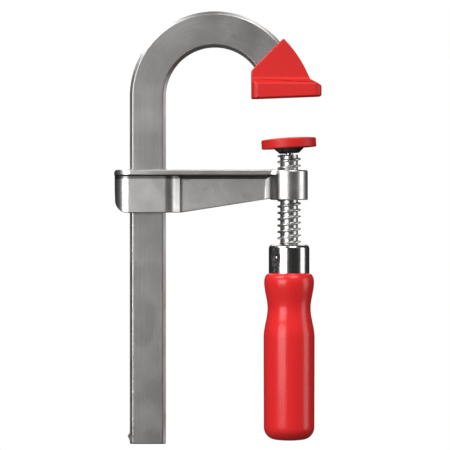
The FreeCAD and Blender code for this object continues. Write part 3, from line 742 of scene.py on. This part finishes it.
@dataclass
class HookRail:
    """The flat bar with its bend, serrated narrow edges and staked stop. Metres."""

    UV = "along_bar"
    width: float = 20 * MM
    thickness: float = 5 * MM
    hook_radius: float = 27 * MM
    edge_height: float = 2.6 * MM
    bevel_reach: float = 1.7 * MM
    bevel_round: float = 0.9 * MM
    tooth_pitch: float = 1.2 * MM
    tooth_depth: float = 0.32 * MM
    end_chamfer: float = 0.35 * MM
    stop_reach: float = 1.2 * MM
    stop_height: float = 5.0 * MM
    stop_from_end: float = 1.5 * MM
    stop_inset: float = 2.4 * MM
    burr_inset: float = 0.55 * MM
    punch_inset: float = 1.25 * MM
    punch_lift: float = 0.3 * MM
    punch_reach: float = 2.6 * MM
    punch_tip: float = 0.02 * MM
    punch_length: float = 3.4 * MM
    tip_degrees: float = 8.0

    def __post_init__(self) -> None:
        """Takes the bar's place from the frame."""
        low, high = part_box("rail")
        self.foot = low.z
        self.far = low.x + self.stop_reach
        self.middle = self.far + self.width / 2
        self.bend_radius = self.hook_radius + self.width / 2
        self.bend_x = self.middle + self.bend_radius
        self.bend_z = high.z - self.hook_radius - self.width

    def section(self) -> list[tuple[float, float]]:
        """Across and depth of the bar's section, with bevelled, softened corners."""
        half = self.width / 2
        deep = self.thickness / 2
        edge = self.edge_height / 2
        quarter = rounded([
            (0.0, -deep, 0.0),
            (half - self.bevel_reach, -deep, self.bevel_round),
            (half, -edge, 0.12 * MM),
            (half, 0.0, 0.0),
        ], steps=5)[1:]
        right = quarter + [(a, -d) for a, d in reversed(quarter[:-1])]
        left = [(-a, -d) for a, d in right]
        return right + left

    def frame_at(self, along: float) -> tuple[Vector, Vector]:
        """Centre of the bar and its across direction, a length up from the foot."""
        straight = self.bend_z - self.foot
        if along <= straight:
            return Vector((self.middle, 0, self.foot + along)), Vector((1, 0, 0))
        angle = math.pi - (along - straight) / self.bend_radius
        spoke = Vector((math.cos(angle), 0, math.sin(angle)))
        return Vector((self.bend_x, 0, self.bend_z)) + spoke * self.bend_radius, -spoke

    def swept_bar(self) -> bpy.types.Object:
        """The bar with plain edges, and what the teeth need to know about each point."""
        straight = self.bend_z - self.foot
        total = straight + math.radians(180 - self.tip_degrees) * self.bend_radius
        step = self.tooth_pitch / 2
        stations = [0.0] + [step * k for k in range(1, int(total / step) + 1)]
        section = self.section()
        shape = bmesh.new()
        uv_layer = shape.loops.layers.uv.new(self.UV)
        length = shape.verts.layers.float.new("bar_length")
        outward = shape.verts.layers.float_vector.new("bar_outward")
        rings = []
        for along in stations:
            centre, across = self.frame_at(along)
            shrink = 1 - 2 * self.end_chamfer / self.width if along == 0.0 else 1.0
            thin = 1 - 2 * self.end_chamfer / self.thickness if along == 0.0 else 1.0
            ring = []
            for a, depth in section:
                vert = shape.verts.new(centre + across * (a * shrink)
                                       + Vector((0, depth * thin, 0)))
                vert[length] = along
                on_edge = abs(a) > self.width / 2 - 0.05 * MM and along > 0
                vert[outward] = across * math.copysign(1.0, a) if on_edge else (0, 0, 0)
                ring.append(vert)
            rings.append(ring)
        round_bar = [0.0]
        count = len(section)
        for index in range(count):
            here = Vector(section[index])
            ahead = Vector(section[(index + 1) % count])
            round_bar.append(round_bar[-1] + (ahead - here).length)
        for row, (low, high) in enumerate(zip(rings, rings[1:])):
            for index in range(count):
                after = (index + 1) % count
                face = shape.faces.new((low[index], low[after], high[after], high[index]))
                spans = ((row, index), (row, index + 1), (row + 1, index + 1),
                         (row + 1, index))
                for loop, (station, span) in zip(face.loops, spans):
                    loop[uv_layer].uv = (stations[station], round_bar[span])
        shape.faces.new(rings[0])
        shape.faces.new(rings[-1])
        return from_bmesh("rail_bar", shape)

    def tooth_tree(self) -> bpy.types.NodeTree:
        """Geometry tree that presses teeth into the bar's narrow edges."""
        graph, given, result = new_group("Rail serration", GEOMETRY_TREE, {
            "Geometry": ("NodeSocketGeometry", None), "Tooth Pitch": (FLOAT, 0.0),
            "Tooth Depth": (FLOAT, 0.0), "Finish": ("NodeSocketMaterial", None),
        }, {"Geometry": "NodeSocketGeometry"})
        along = graph.add("GeometryNodeInputNamedAttribute", {"Name": "bar_length"},
                          data_type="FLOAT").outputs[0]
        outward = graph.add("GeometryNodeInputNamedAttribute", {"Name": "bar_outward"},
                            data_type="FLOAT_VECTOR").outputs[0]
        half_pitch = graph.math("MULTIPLY", given["Tooth Pitch"], 0.5)
        valley = graph.math("DIVIDE", graph.math("PINGPONG", along, half_pitch), half_pitch)
        depth = graph.math("MULTIPLY", valley, given["Tooth Depth"])
        sink = graph.math("MULTIPLY", depth, -1.0)
        offset = graph.add("ShaderNodeVectorMath", {0: outward, "Scale": sink},
                           operation="SCALE").outputs[0]
        moved = graph.add("GeometryNodeSetPosition", {
            "Geometry": given["Geometry"], "Offset": offset,
        })
        finish_tree(graph, moved.outputs[0], given, result)
        return graph.tree

    def stake(self, bar: bpy.types.Object) -> None:
        """Raises the stop out of the back edge and leaves the punch marks beside it."""
        height = self.foot + self.stop_from_end + self.stop_height / 2
        inside = self.far + self.stop_inset
        crest = self.far - self.stop_reach
        burr = bmesh.new()
        front = rounded([
            (inside, height - self.stop_height / 2, 0.0),
            (self.far, height - self.stop_height * 0.42, 0.4 * MM),
            (crest, height + self.stop_height * 0.08, 0.7 * MM),
            (self.far, height + self.stop_height * 0.42, 0.4 * MM),
            (inside, height + self.stop_height / 2, 0.0),
        ], steps=4)
        deep = self.thickness / 2 - self.burr_inset
        sides = [[burr.verts.new((x, y, z)) for x, z in front] for y in (-deep, deep)]
        for index in range(len(front)):
            after = (index + 1) % len(front)
            burr.faces.new((sides[0][index], sides[0][after],
                            sides[1][after], sides[1][index]))
        burr.faces.new(sides[0])
        burr.faces.new(sides[1])
        join(bar, from_bmesh("stop_burr", burr), "UNION")
        for side in (-1, 1):
            punch = bmesh.new()
            place = (Matrix.Translation((self.far + self.punch_inset,
                                         side * self.thickness / 2,
                                         height + self.punch_lift))
                     @ Matrix.Rotation(side * math.pi / 2, 4, "X"))
            bmesh.ops.create_cone(punch, cap_ends=True, segments=4, radius1=self.punch_tip,
                                  radius2=self.punch_reach, depth=self.punch_length,
                                  matrix=place)
            join(bar, from_bmesh("stop_punch", punch), "DIFFERENCE")

    def build(self) -> None:
        """Makes the rail and puts it on the frame."""
        bar = self.swept_bar()
        run_nodes(bar, self.tooth_tree(), {
            "Tooth Pitch": self.tooth_pitch, "Tooth Depth": self.tooth_depth,
            "Finish": RAIL_STEEL.material(),
        })
        self.stake(bar)
        smooth(bar, SHARP, flat_faced=True)
        dress(bar, RAIL_STEEL, Body.RAIL, Slot.RAIL, "rail")


def finish_tree(graph: Graph, geometry: bpy.types.NodeSocket, given: Any,
                result: Any) -> None:
    """Ends a geometry tree with Realize Instances and Set Material."""
    real = graph.add("GeometryNodeRealizeInstances", {0: geometry})
    dressed = graph.add("GeometryNodeSetMaterial", {
        "Geometry": real.outputs[0], "Material": given["Finish"],
    })
    graph.feed(result["Geometry"], dressed.outputs[0])


def join(piece: bpy.types.Object, tool: bpy.types.Object, operation: str) -> None:
    """Joins a tool to a piece, or cuts it out, and removes the tool.

    Args:
        piece: the object to change.
        tool: the other solid.
        operation: UNION or DIFFERENCE.
    """
    modifier = piece.modifiers.new(operation, "BOOLEAN")
    modifier.operation = operation
    modifier.object = tool
    modifier.solver = "EXACT"
    baked(piece)
    bpy.data.objects.remove(tool)


# ---------------------------------------------------------------- red jaw cap and arm

@dataclass
class JawCap:
    """The moulded boot on the bent end of the rail."""

    edge: float = 0.75 * MM
    bar_half: float = 2.6 * MM

    def build(self) -> None:
        """Softens a copy of the cap's solid and dresses it."""
        piece = cad_copy("jaw_cap_moulding", "fixed_jaw_cap")
        soften(piece, self.edge, 4, self.outside)
        smooth(piece, 40, flat_faced=True)
        dress(piece, JAW_RED, Body.RAIL, Slot.JAW, "fixed_jaw_cap")

    def outside(self, edge: bmesh.types.BMEdge) -> bool:
        """True for an edge on the cap's outside, away from the bar's pocket."""
        return not all(abs(vert.co.y) < self.bar_half for vert in edge.verts)


@dataclass
class SlidingArm:
    """The die-cast arm with its rim, web, rail slot and spindle boss."""

    edge: float = 0.45 * MM
    rim_foot: float = -43.3 * MM
    slack: float = 0.1 * MM
    bore_reach: float = 7.4 * MM

    def build(self) -> None:
        """Softens a copy of the casting outside its thread and dresses it."""
        piece = cad_copy("arm_casting", "sliding_arm")
        soften(piece, self.edge, 3, self.outside_thread)
        smooth(piece, 35, flat_faced=True)
        dress(piece, ARM_ZINC, Body.ARM, Slot.ARM, "sliding_arm")

    def outside_thread(self, edge: bmesh.types.BMEdge) -> bool:
        """True for an edge under the rim and away from the threaded bore."""
        return all(math.hypot(v.co.x, v.co.y) > self.bore_reach
                   and v.co.z < self.rim_foot + self.slack for v in edge.verts)


# ---------------------------------------------------------------- screw

@dataclass
class Spindle:
    """The screw: rolled thread, ball end and plain shank, about Z. Metres."""

    pitch: float = 3.5 * MM
    core: float = 4.9 * MM
    crest: float = 6.5 * MM
    crest_width: float = 0.7 * MM
    root_width: float = 1.55 * MM
    thread_top: float = -31.65 * MM
    ridge_top: float = -31.8 * MM
    datum: float = -34.05 * MM
    ferrule_gap: float = 0.2 * MM
    ball: float = 3.2 * MM
    ball_centre: float = -28.0 * MM
    neck: float = 2.1 * MM
    segments: int = 96
    run_out: float = 0.12
    shank_chamfer: float = 1.2 * MM

    def __post_init__(self) -> None:
        """Takes the thread's foot and the shank's end from the frame."""
        self.shank_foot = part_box("spindle")[0].z
        self.thread_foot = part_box("ferrule")[1].z + self.ferrule_gap

    def rod_ends(self) -> bpy.types.Object:
        """Shank below the thread, and shoulder, neck and ball above it, open between."""
        meet = math.degrees(math.acos(self.neck / self.ball))
        ball = [on_arc((0.0, self.ball_centre), self.ball, -meet + (90 + meet) * k / 14)
                for k in range(15)]
        ball[-1] = (0.0, self.ball_centre + self.ball)
        upper = [(self.core, self.thread_top), (self.neck, self.thread_top), *ball]
        lower = [(0.0, self.shank_foot), (self.core - self.shank_chamfer, self.shank_foot),
                 (self.core, self.shank_foot + self.shank_chamfer),
                 (self.core, self.thread_foot)]
        shape = lathe(lower, self.segments)
        top = lathe(upper, self.segments)
        mesh = as_mesh("rod_top", top)
        shape.from_mesh(mesh)
        bpy.data.meshes.remove(mesh)
        return from_bmesh("spindle_rod", shape)

    def section(self) -> Profile:
        """Share of the pitch and of the thread's height, from root to root."""
        middle = self.pitch / 2
        height = self.crest - self.core
        outline = rounded([
            (0.0, 0.0, 0.0),
            (middle - self.root_width / 2, 0.0, 0.2 * MM),
            (middle - self.crest_width / 2, height, 0.3 * MM),
            (middle + self.crest_width / 2, height, 0.3 * MM),
            (middle + self.root_width / 2, 0.0, 0.2 * MM),
            (self.pitch, 0.0, 0.0),
        ], steps=4)
        return [(along / self.pitch, rise / height) for along, rise in outline]

    def curve(self, graph: Graph, value: Any, points: Profile) -> bpy.types.NodeSocket:
        """A Float Curve node through points, straight between them."""
        node = graph.add("ShaderNodeFloatCurve", {"Value": value})
        line = node.mapping.curves[0]
        for _ in range(len(points) - 2):
            line.points.new(0.5, 0.5)
        for point, (x, y) in zip(line.points, points):
            point.location = (x, y)
            point.handle_type = "VECTOR"
        node.mapping.update()
        return node.outputs[0]

    def thread_tree(self) -> bpy.types.NodeTree:
        """Geometry tree that winds the thread's section into a closed screw surface."""
        section = self.section()
        last = len(section) - 1
        graph, given, result = new_group("Rolled thread", GEOMETRY_TREE, {
            "Geometry": ("NodeSocketGeometry", None), "Pitch": (FLOAT, 0.0),
            "Core Radius": (FLOAT, 0.0), "Crest Radius": (FLOAT, 0.0),
            "Start Height": (FLOAT, 0.0), "Foot": (FLOAT, 0.0), "Top": (FLOAT, 0.0),
            "Ridge Top": (FLOAT, 0.0),
            "Turns": (FLOAT, 1.0), "Steps Per Turn": ("NodeSocketInt", 96),
            "Run Out": (FLOAT, 0.5), "Finish": ("NodeSocketMaterial", None),
        }, {"Geometry": "NodeSocketGeometry"})
        rows = graph.math("MULTIPLY_ADD", given["Turns"], given["Steps Per Turn"], 1.0)
        grid = graph.add("GeometryNodeMeshGrid", {
            "Size X": 1.0, "Size Y": 1.0, "Vertices X": last + 1, "Vertices Y": rows,
        })
        place = graph.add("ShaderNodeSeparateXYZ", {
            0: graph.add("GeometryNodeInputPosition").outputs[0],
        })
        across = graph.math("ADD", place.outputs[0], 0.5)
        turn = graph.math("MULTIPLY", graph.math("ADD", place.outputs[1], 0.5), given["Turns"])
        share = self.curve(graph, across, [(k / last, p) for k, (p, _) in enumerate(section)])
        rise = self.curve(graph, across, [(k / last, h) for k, (_, h) in enumerate(section)])
        centred = graph.math("SUBTRACT", share, 0.5)
        height = graph.math("MULTIPLY_ADD", graph.math("ADD", turn, centred), given["Pitch"],
                            given["Start Height"])
        held = graph.math("MAXIMUM", graph.math("MINIMUM", height, given["Top"]), given["Foot"])
        from_top = graph.math("DIVIDE", graph.math("SUBTRACT", given["Ridge Top"], height),
                              given["Pitch"])
        from_foot = graph.math("DIVIDE", graph.math("SUBTRACT", height, given["Foot"]),
                               given["Pitch"])
        nearest = graph.math("MINIMUM", from_top, from_foot)
        fade = graph.math("DIVIDE", nearest, given["Run Out"], clamp=True)
        depth = graph.math("SUBTRACT", given["Crest Radius"], given["Core Radius"])
        radius = graph.math("MULTIPLY_ADD", graph.math("MULTIPLY", rise, fade), depth,
                            given["Core Radius"])
        angle = graph.math("MULTIPLY", turn, 2 * math.pi)
        spot = graph.add("ShaderNodeCombineXYZ", {
            0: graph.math("MULTIPLY", radius, graph.math("COSINE", angle)),
            1: graph.math("MULTIPLY", radius, graph.math("SINE", angle)),
            2: held,
        })
        wound = graph.add("GeometryNodeSetPosition", {
            "Geometry": grid.outputs[0], "Position": spot.outputs[0],
        })
        both = graph.add("GeometryNodeJoinGeometry")
        graph.feed(both.inputs[0], given["Geometry"])
        graph.feed(both.inputs[0], wound.outputs[0])
        merged = graph.add("GeometryNodeMergeByDistance", {
            "Geometry": both.outputs[0], "Distance": 0.003 * MM,
        })
        finish_tree(graph, merged.outputs[0], given, result)
        return graph.tree

    def build(self) -> None:
        """Makes the screw and puts it on the frame."""
        piece = self.rod_ends()
        turns_down = math.ceil((self.datum - self.thread_foot) / self.pitch)
        run_nodes(piece, self.thread_tree(), {
            "Pitch": self.pitch, "Core Radius": self.core, "Crest Radius": self.crest,
            "Start Height": self.datum - (turns_down + 1) * self.pitch,
            "Foot": self.thread_foot, "Top": self.thread_top, "Ridge Top": self.ridge_top,
            "Turns": float(turns_down + 3), "Steps Per Turn": self.segments,
            "Run Out": self.run_out, "Finish": SPINDLE_STEEL.material(),
        })
        shape = bmesh.new()
        shape.from_mesh(piece.data)
        bmesh.ops.dissolve_degenerate(shape, edges=shape.edges, dist=0.002 * MM)
        bmesh.ops.recalc_face_normals(shape, faces=shape.faces)
        shape.to_mesh(piece.data)
        shape.free()
        smooth(piece, 30)
        dress(piece, SPINDLE_STEEL, Body.SCREW, Slot.SPINDLE, "spindle")


@dataclass
class Ferrule:
    """The polished collar, its cross pin and the punched hollow round the pin's end."""

    radius: float = 11.25 * MM
    wall: float = 1.3 * MM
    roof: float = 2.5 * MM
    hole: float = 4.9 * MM
    top_round: float = 2.4 * MM
    pin_radius: float = 1.4 * MM
    pin_drop: float = 7.4 * MM
    pin_sunk: float = 0.5 * MM
    pin_degrees: float = 45.0
    hollow_half_width: float = 3.5 * MM
    hollow_half_height: float = 5.4 * MM
    hollow_depth: float = 0.9 * MM
    segments: int = 240
    rows: int = 64

    def __post_init__(self) -> None:
        """Takes the collar's height from the frame."""
        low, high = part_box("ferrule")
        self.foot = low.z
        self.top = high.z
        angle = math.radians(self.pin_degrees)
        self.pin_axis = Vector((math.cos(angle), math.sin(angle), 0))
        self.pin_centre = Vector((0, 0, self.top - self.pin_drop))

    def collar(self) -> bpy.types.Object:
        """The cup, with its hollows pressed in."""
        span = self.top - self.top_round - self.foot
        side = [(self.radius, self.foot + span * k / self.rows)
                for k in range(1, self.rows)]
        profile = rounded([
            (self.radius - self.wall, self.foot, 0.2 * MM),
            (self.radius, self.foot, 0.3 * MM),
        ], steps=3)
        crown = rounded([
            (self.radius, side[-1][1], 0.0),
            (self.radius, self.top, self.top_round),
            (self.hole, self.top, 0.3 * MM),
            (self.hole, self.top - self.roof, 0.0),
            (self.radius - self.wall, self.top - self.roof, 0.0),
        ], steps=8)
        shape = lathe(profile + side + crown[1:], self.segments, closed=True)
        for vert in shape.verts:
            offset = vert.co - self.pin_centre
            along = offset.dot(self.pin_axis)
            beside = offset - self.pin_axis * along
            away = math.hypot(Vector((beside.x, beside.y)).length / self.hollow_half_width,
                              beside.z / self.hollow_half_height)
            outer = Vector((vert.co.x, vert.co.y)).length > self.radius - 0.1 * MM
            if outer and away < 1.0:
                sink = self.hollow_depth * (0.5 + 0.5 * math.cos(math.pi * away))
                vert.co -= self.pin_axis * math.copysign(sink, along)
        return from_bmesh("ferrule_collar", shape)

    def pin(self) -> bpy.types.Object:
        """The cross pin, with riveted ends."""
        half = self.radius - self.pin_sunk
        dome = [on_arc((0.0, half - self.pin_radius * 0.9), self.pin_radius, 30 + 60 * k / 6)
                for k in range(7)]
        dome[-1] = (0.0, dome[-1][1])
        lift = half - dome[-1][1]
        end = [(self.pin_radius, dome[0][1] + lift - 0.5 * MM)]
        end += [(r, z + lift) for r, z in dome]
        profile = [(r, -z) for r, z in reversed(end)] + end
        shape = lathe(profile, 40)
        turn = Vector((0, 0, 1)).rotation_difference(self.pin_axis).to_matrix()
        bmesh.ops.rotate(shape, verts=shape.verts, cent=(0, 0, 0), matrix=turn)
        bmesh.ops.translate(shape, verts=shape.verts, vec=self.pin_centre)
        return from_bmesh("ferrule_pin", shape)

    def build(self) -> None:
        """Makes the collar and the pin and puts them on the frame."""
        collar = self.collar()
        smooth(collar, 35)
        dress(collar, FERRULE_NICKEL, Body.SCREW, Slot.FERRULE, "ferrule")
        pin = self.pin()
        smooth(pin, 35)
        dress(pin, SPINDLE_STEEL, Body.SCREW, Slot.SPINDLE, "handle_pin")


@dataclass
class Handle:
    """The turned wooden grip under its lacquer. Drops are below the ferrule. Metres."""

    shoulder: float = 11.35 * MM
    shoulder_edge: float = 0.35 * MM
    head: float = 13.8 * MM
    head_drop: float = 5.0 * MM
    waist: float = 11.9 * MM
    waist_drop: float = 19.4 * MM
    grip: float = 14.1 * MM
    grip_drop: float = 35.5 * MM
    foot_radius: float = 14.0 * MM
    foot_round: float = 7.0 * MM
    end_radius: float = 60.0 * MM
    tenon: float = 9.95 * MM
    bore: float = 4.9 * MM
    bore_relief: float = 2 * MM
    segments: int = 144

    def profile(self) -> Profile:
        """From the bottom of the bore, over the tenon and down the grip to the end."""
        low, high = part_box("handle")
        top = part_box("ferrule")[0].z
        bore_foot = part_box("spindle")[0].z - self.bore_relief
        apart = self.end_radius - self.foot_round
        corner_x = self.foot_radius - self.foot_round
        dome_z = low.z + self.end_radius
        corner_z = dome_z - math.sqrt(apart ** 2 - corner_x ** 2)
        meet = math.degrees(math.atan2(corner_z - dome_z, corner_x))
        inside = [(0.0, bore_foot), (self.bore, bore_foot), (self.bore, high.z),
                  (self.tenon, high.z), (self.tenon, top),
                  (self.shoulder - self.shoulder_edge, top)]
        side: Profile = []
        for k in range(10):
            t = math.radians(90 * k / 9)
            side.append((self.shoulder + (self.head - self.shoulder) * math.sin(t),
                         top - self.shoulder_edge
                         - (self.head_drop - self.shoulder_edge) * (1 - math.cos(t))))
        side += eased(side[-1], (self.waist, top - self.waist_drop), 22)
        side += eased(side[-1], (self.grip, top - self.grip_drop), 24)
        side += eased(side[-1], (self.foot_radius, corner_z), 30)
        corner = [on_arc((corner_x, corner_z), self.foot_round, meet * k / 14)
                  for k in range(1, 15)]
        dome = [on_arc((0.0, dome_z), self.end_radius, meet + (-90 - meet) * k / 8)
                for k in range(1, 8)]
        return inside + side + corner + dome + [(0.0, low.z)]

    def build(self) -> None:
        """Turns the handle and puts it on the frame."""
        piece = from_bmesh("handle_grip", lathe(self.profile(), self.segments))
        smooth(piece, 40)
        dress(piece, HANDLE_RED, Body.SCREW, Slot.HANDLE, "handle")


# ---------------------------------------------------------------- pressure pad

@dataclass
class PressurePad:
    """Steel plate and its plastic cap, turned about the ball and then tilted. Metres."""

    tilt_degrees: float = -3.4
    ball_centre: float = -28.0 * MM
    socket: float = 3.28 * MM
    crown: float = 4.08 * MM
    crown_radius: float = 5.2 * MM
    hub_depth: float = 2.9 * MM
    hub_foot: float = 5.4 * MM
    hub_root: float = 8.5 * MM
    plate_radius: float = 12.8 * MM
    plate_rise: float = 0.9 * MM
    plate_thickness: float = 1.6 * MM
    cap_radius: float = 15.15 * MM
    cap_top: float = 5.8 * MM
    cap_foot: float = 0.0 * MM
    flat_radius: float = 6.0 * MM
    cap_lip: float = 11.6 * MM
    dome: float = 0.7 * MM
    cap_edge: float = 0.9 * MM
    segments: int = 144

    def set_on_ball(self, shape: bmesh.types.BMesh) -> bmesh.types.BMesh:
        """Tilts a part drawn about the ball's centre and lifts it there."""
        turn = Matrix.Rotation(math.radians(self.tilt_degrees), 3, "Y")
        bmesh.ops.rotate(shape, verts=shape.verts, cent=(0, 0, 0), matrix=turn)
        bmesh.ops.translate(shape, verts=shape.verts, vec=(0, 0, self.ball_centre))
        return shape

    def plate(self) -> bpy.types.Object:
        """The pressed plate: flared hub, socket for the ball, and crown."""
        top = self.plate_rise + self.plate_thickness
        outside = rounded([
            (self.socket + 0.3 * MM, -self.hub_depth, 0.0),
            (self.hub_foot, -self.hub_depth, 0.5 * MM),
            (self.hub_root, 0.0, 0.8 * MM),
            (self.hub_root, self.plate_rise, 0.0),
            (self.plate_radius, self.plate_rise, 0.3 * MM),
            (self.plate_radius, top, 0.3 * MM),
            (self.crown_radius + self.crown - top, top, 0.5 * MM),
            (self.crown_radius, self.crown, 0.5 * MM),
            (0.0, self.crown, 0.0),
        ], steps=4)
        mouth = [(self.socket, 0.0), (self.socket, -self.hub_depth + 0.3 * MM)]
        ball = [on_arc((0.0, 0.0), self.socket, 90 - 90 * k / 10) for k in range(1, 10)]
        profile = [(0.0, self.socket)] + ball + mouth + outside
        return from_bmesh("pad_plate", self.set_on_ball(lathe(profile, self.segments)))

    def cap(self) -> bpy.types.Object:
        """The moulded cap with its domed face, soft rim and lip under the plate."""
        span = self.cap_radius ** 2 - self.flat_radius ** 2
        crown = (span / self.dome + self.dome) / 2
        radius = math.hypot(crown, self.flat_radius)
        centre = (0.0, self.cap_top - crown)
        start = math.degrees(math.acos(self.flat_radius / radius))
        edge = math.degrees(math.acos(self.cap_radius / radius))
        face = [on_arc(centre, radius, start + (edge - start) * k / 10) for k in range(10)]
        rim = rounded([
            (*face[-1], 0.0),
            (self.cap_radius, self.cap_top - self.dome, self.cap_edge),
            (self.cap_radius, self.cap_foot, 0.5 * MM),
            (self.cap_lip, self.cap_foot, 0.25 * MM),
            (self.cap_lip, self.plate_rise, 0.0),
            (self.plate_radius, self.plate_rise, 0.0),
            (self.plate_radius, self.plate_rise + self.plate_thickness, 0.0),
            (0.0, self.plate_rise + self.plate_thickness, 0.0),
        ], steps=6)
        profile = [(0.0, self.cap_top)] + face[:-1] + rim
        return from_bmesh("pad_cap_moulding",
                          self.set_on_ball(lathe(profile, self.segments)))

    def build(self) -> None:
        """Makes plate and cap, and finishes the ring that keeps the ball in."""
        plate = self.plate()
        smooth(plate, 35)
        dress(plate, PLATE_STEEL, Body.PAD, Slot.PLATE, "swivel_plate")
        cap = self.cap()
        smooth(cap, 35)
        dress(cap, JAW_RED, Body.PAD, Slot.JAW, "pad_cap")
        coat(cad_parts["retaining_ring"], SPINDLE_STEEL)


# ---------------------------------------------------------------- studio

@dataclass(frozen=True)
class Softbox:
    """A flat light at a bearing from the object, turned towards it."""

    name: str
    bearing: float
    elevation: float
    distance: float
    width: float
    height: float
    radiance: float

    def hang(self, target: Vector) -> None:
        """Places the light and turns it to the target."""
        light = bpy.data.lights.new(self.name, "AREA")
        light.shape = "RECTANGLE"
        light.size = self.width
        light.size_y = self.height
        light.energy = self.radiance * math.pi * self.width * self.height
        lamp = linked(self.name, light)
        bearing = math.radians(self.bearing)
        rise = math.radians(self.elevation)
        away = Vector((math.sin(bearing) * math.cos(rise), -math.cos(bearing) * math.cos(rise),
                       math.sin(rise)))
        lamp.location = target + away * self.distance
        lamp.rotation_euler = away.to_track_quat("Z", "Y").to_euler()
        lamp.visible_camera = False


@dataclass
class Studio:
    """Pale floor, white surroundings, softboxes and the camera."""

    frame_width: float = 248.6 * MM
    view_centre_x: float = -35.4 * MM
    view_centre_z: float = -70.5 * MM
    camera_distance: float = 1.6
    sensor: float = 36.0
    floor_drop: float = 130 * MM
    fill: float = 0.025
    lights: tuple[Softbox, ...] = (
        Softbox("left_softbox", -33.0, 5.0, 1.3, 0.82, 0.58, 5.6),
        Softbox("right_softbox", 82.0, 2.0, 1.3, 0.56, 0.90, 2.5),
        Softbox("upper_left_softbox", -52.0, 46.0, 1.3, 0.66, 0.60, 7.0),
        Softbox("upper_right_softbox", 30.0, 50.0, 1.3, 0.66, 0.60, 6.5),
        Softbox("back_softbox", 180.0, 38.0, 1.3, 1.0, 0.7, 2.5),
    )

    def world(self) -> None:
        """White to the eye, and a dim grey fill for what the surfaces mirror."""
        world = bpy.data.worlds.new("studio_surround")
        world.use_nodes = True
        bpy.context.scene.world = world
        world.node_tree.nodes.clear()
        graph = Graph(world.node_tree)
        seen = graph.add("ShaderNodeLightPath").outputs["Is Camera Ray"]
        tone = graph.mix(seen, rgba((self.fill,) * 3), rgba((1.0, 1.0, 1.0)))
        ground = graph.add("ShaderNodeBackground", {"Color": tone, "Strength": 1.0})
        out = graph.add("ShaderNodeOutputWorld")
        graph.feed(out.inputs["Surface"], ground.outputs[0])

    def floor(self, low: Vector) -> None:
        """A pale floor below the clamp's lowest reach, fading out to white."""
        shape = bmesh.new()
        bmesh.ops.create_circle(shape, cap_ends=True, segments=96, radius=1.5)
        mesh = as_mesh("studio_floor", shape)
        floor = linked("studio_floor", mesh)
        floor.location = (0, 0, low.z - self.floor_drop)
        material = bpy.data.materials.new("pale_floor")
        material.use_nodes = True
        graph = Graph(material.node_tree)
        shader = material.node_tree.nodes["Principled BSDF"]
        place = graph.add("ShaderNodeTexCoord").outputs["Object"]
        away = graph.add("ShaderNodeVectorMath", {0: place}, operation="LENGTH").outputs[1]
        grain = graph.noise(place, 220.0, 2.0)
        pale = graph.mix(grain, rgba((0.86, 0.86, 0.86)), rgba((0.9, 0.9, 0.9)))
        seen = graph.add("ShaderNodeLightPath").outputs["Is Camera Ray"]
        graph.feed(shader.inputs["Base Color"], graph.mix(seen, rgba((0.05,) * 3), pale))
        shader.inputs["Roughness"].default_value = 0.8
        graph.feed(shader.inputs["Alpha"], graph.remap(away, 0.25, 1.2, 1.0, 0.0))
        mesh.materials.append(material)

    def camera(self) -> None:
        """Straight on to the front, a little below the hook."""
        lens = bpy.data.cameras.new("front_camera")
        lens.sensor_width = self.sensor
        lens.lens = self.sensor * self.camera_distance / self.frame_width
        lens.clip_end = 20.0
        eye = linked("front_camera", lens)
        eye.location = (self.view_centre_x, -self.camera_distance, self.view_centre_z)
        eye.rotation_euler = (math.pi / 2, 0, 0)
        bpy.context.scene.camera = eye

    def build(self) -> None:
        """Sets up everything that isn't the clamp."""
        low = Vector(cad_box[0])
        target = Vector((self.view_centre_x, 0, self.view_centre_z))
        bpy.context.scene.view_settings.view_transform = "Standard"
        self.world()
        self.floor(low)
        self.camera()
        for light in self.lights:
            light.hang(target)
        LOG.info("studio: %d lights", len(self.lights))


def main() -> None:
    """Builds the studio and each sub-assembly."""
    logging.basicConfig(level=logging.INFO, format="%(name)s: %(message)s")
    Studio().build()
    for part in (HookRail(), JawCap(), SlidingArm(), Spindle(), Ferrule(), Handle(),
                 PressurePad()):
        part.build()
    bpy.context.view_layer.update()


if __name__ == "__main__":
    main()
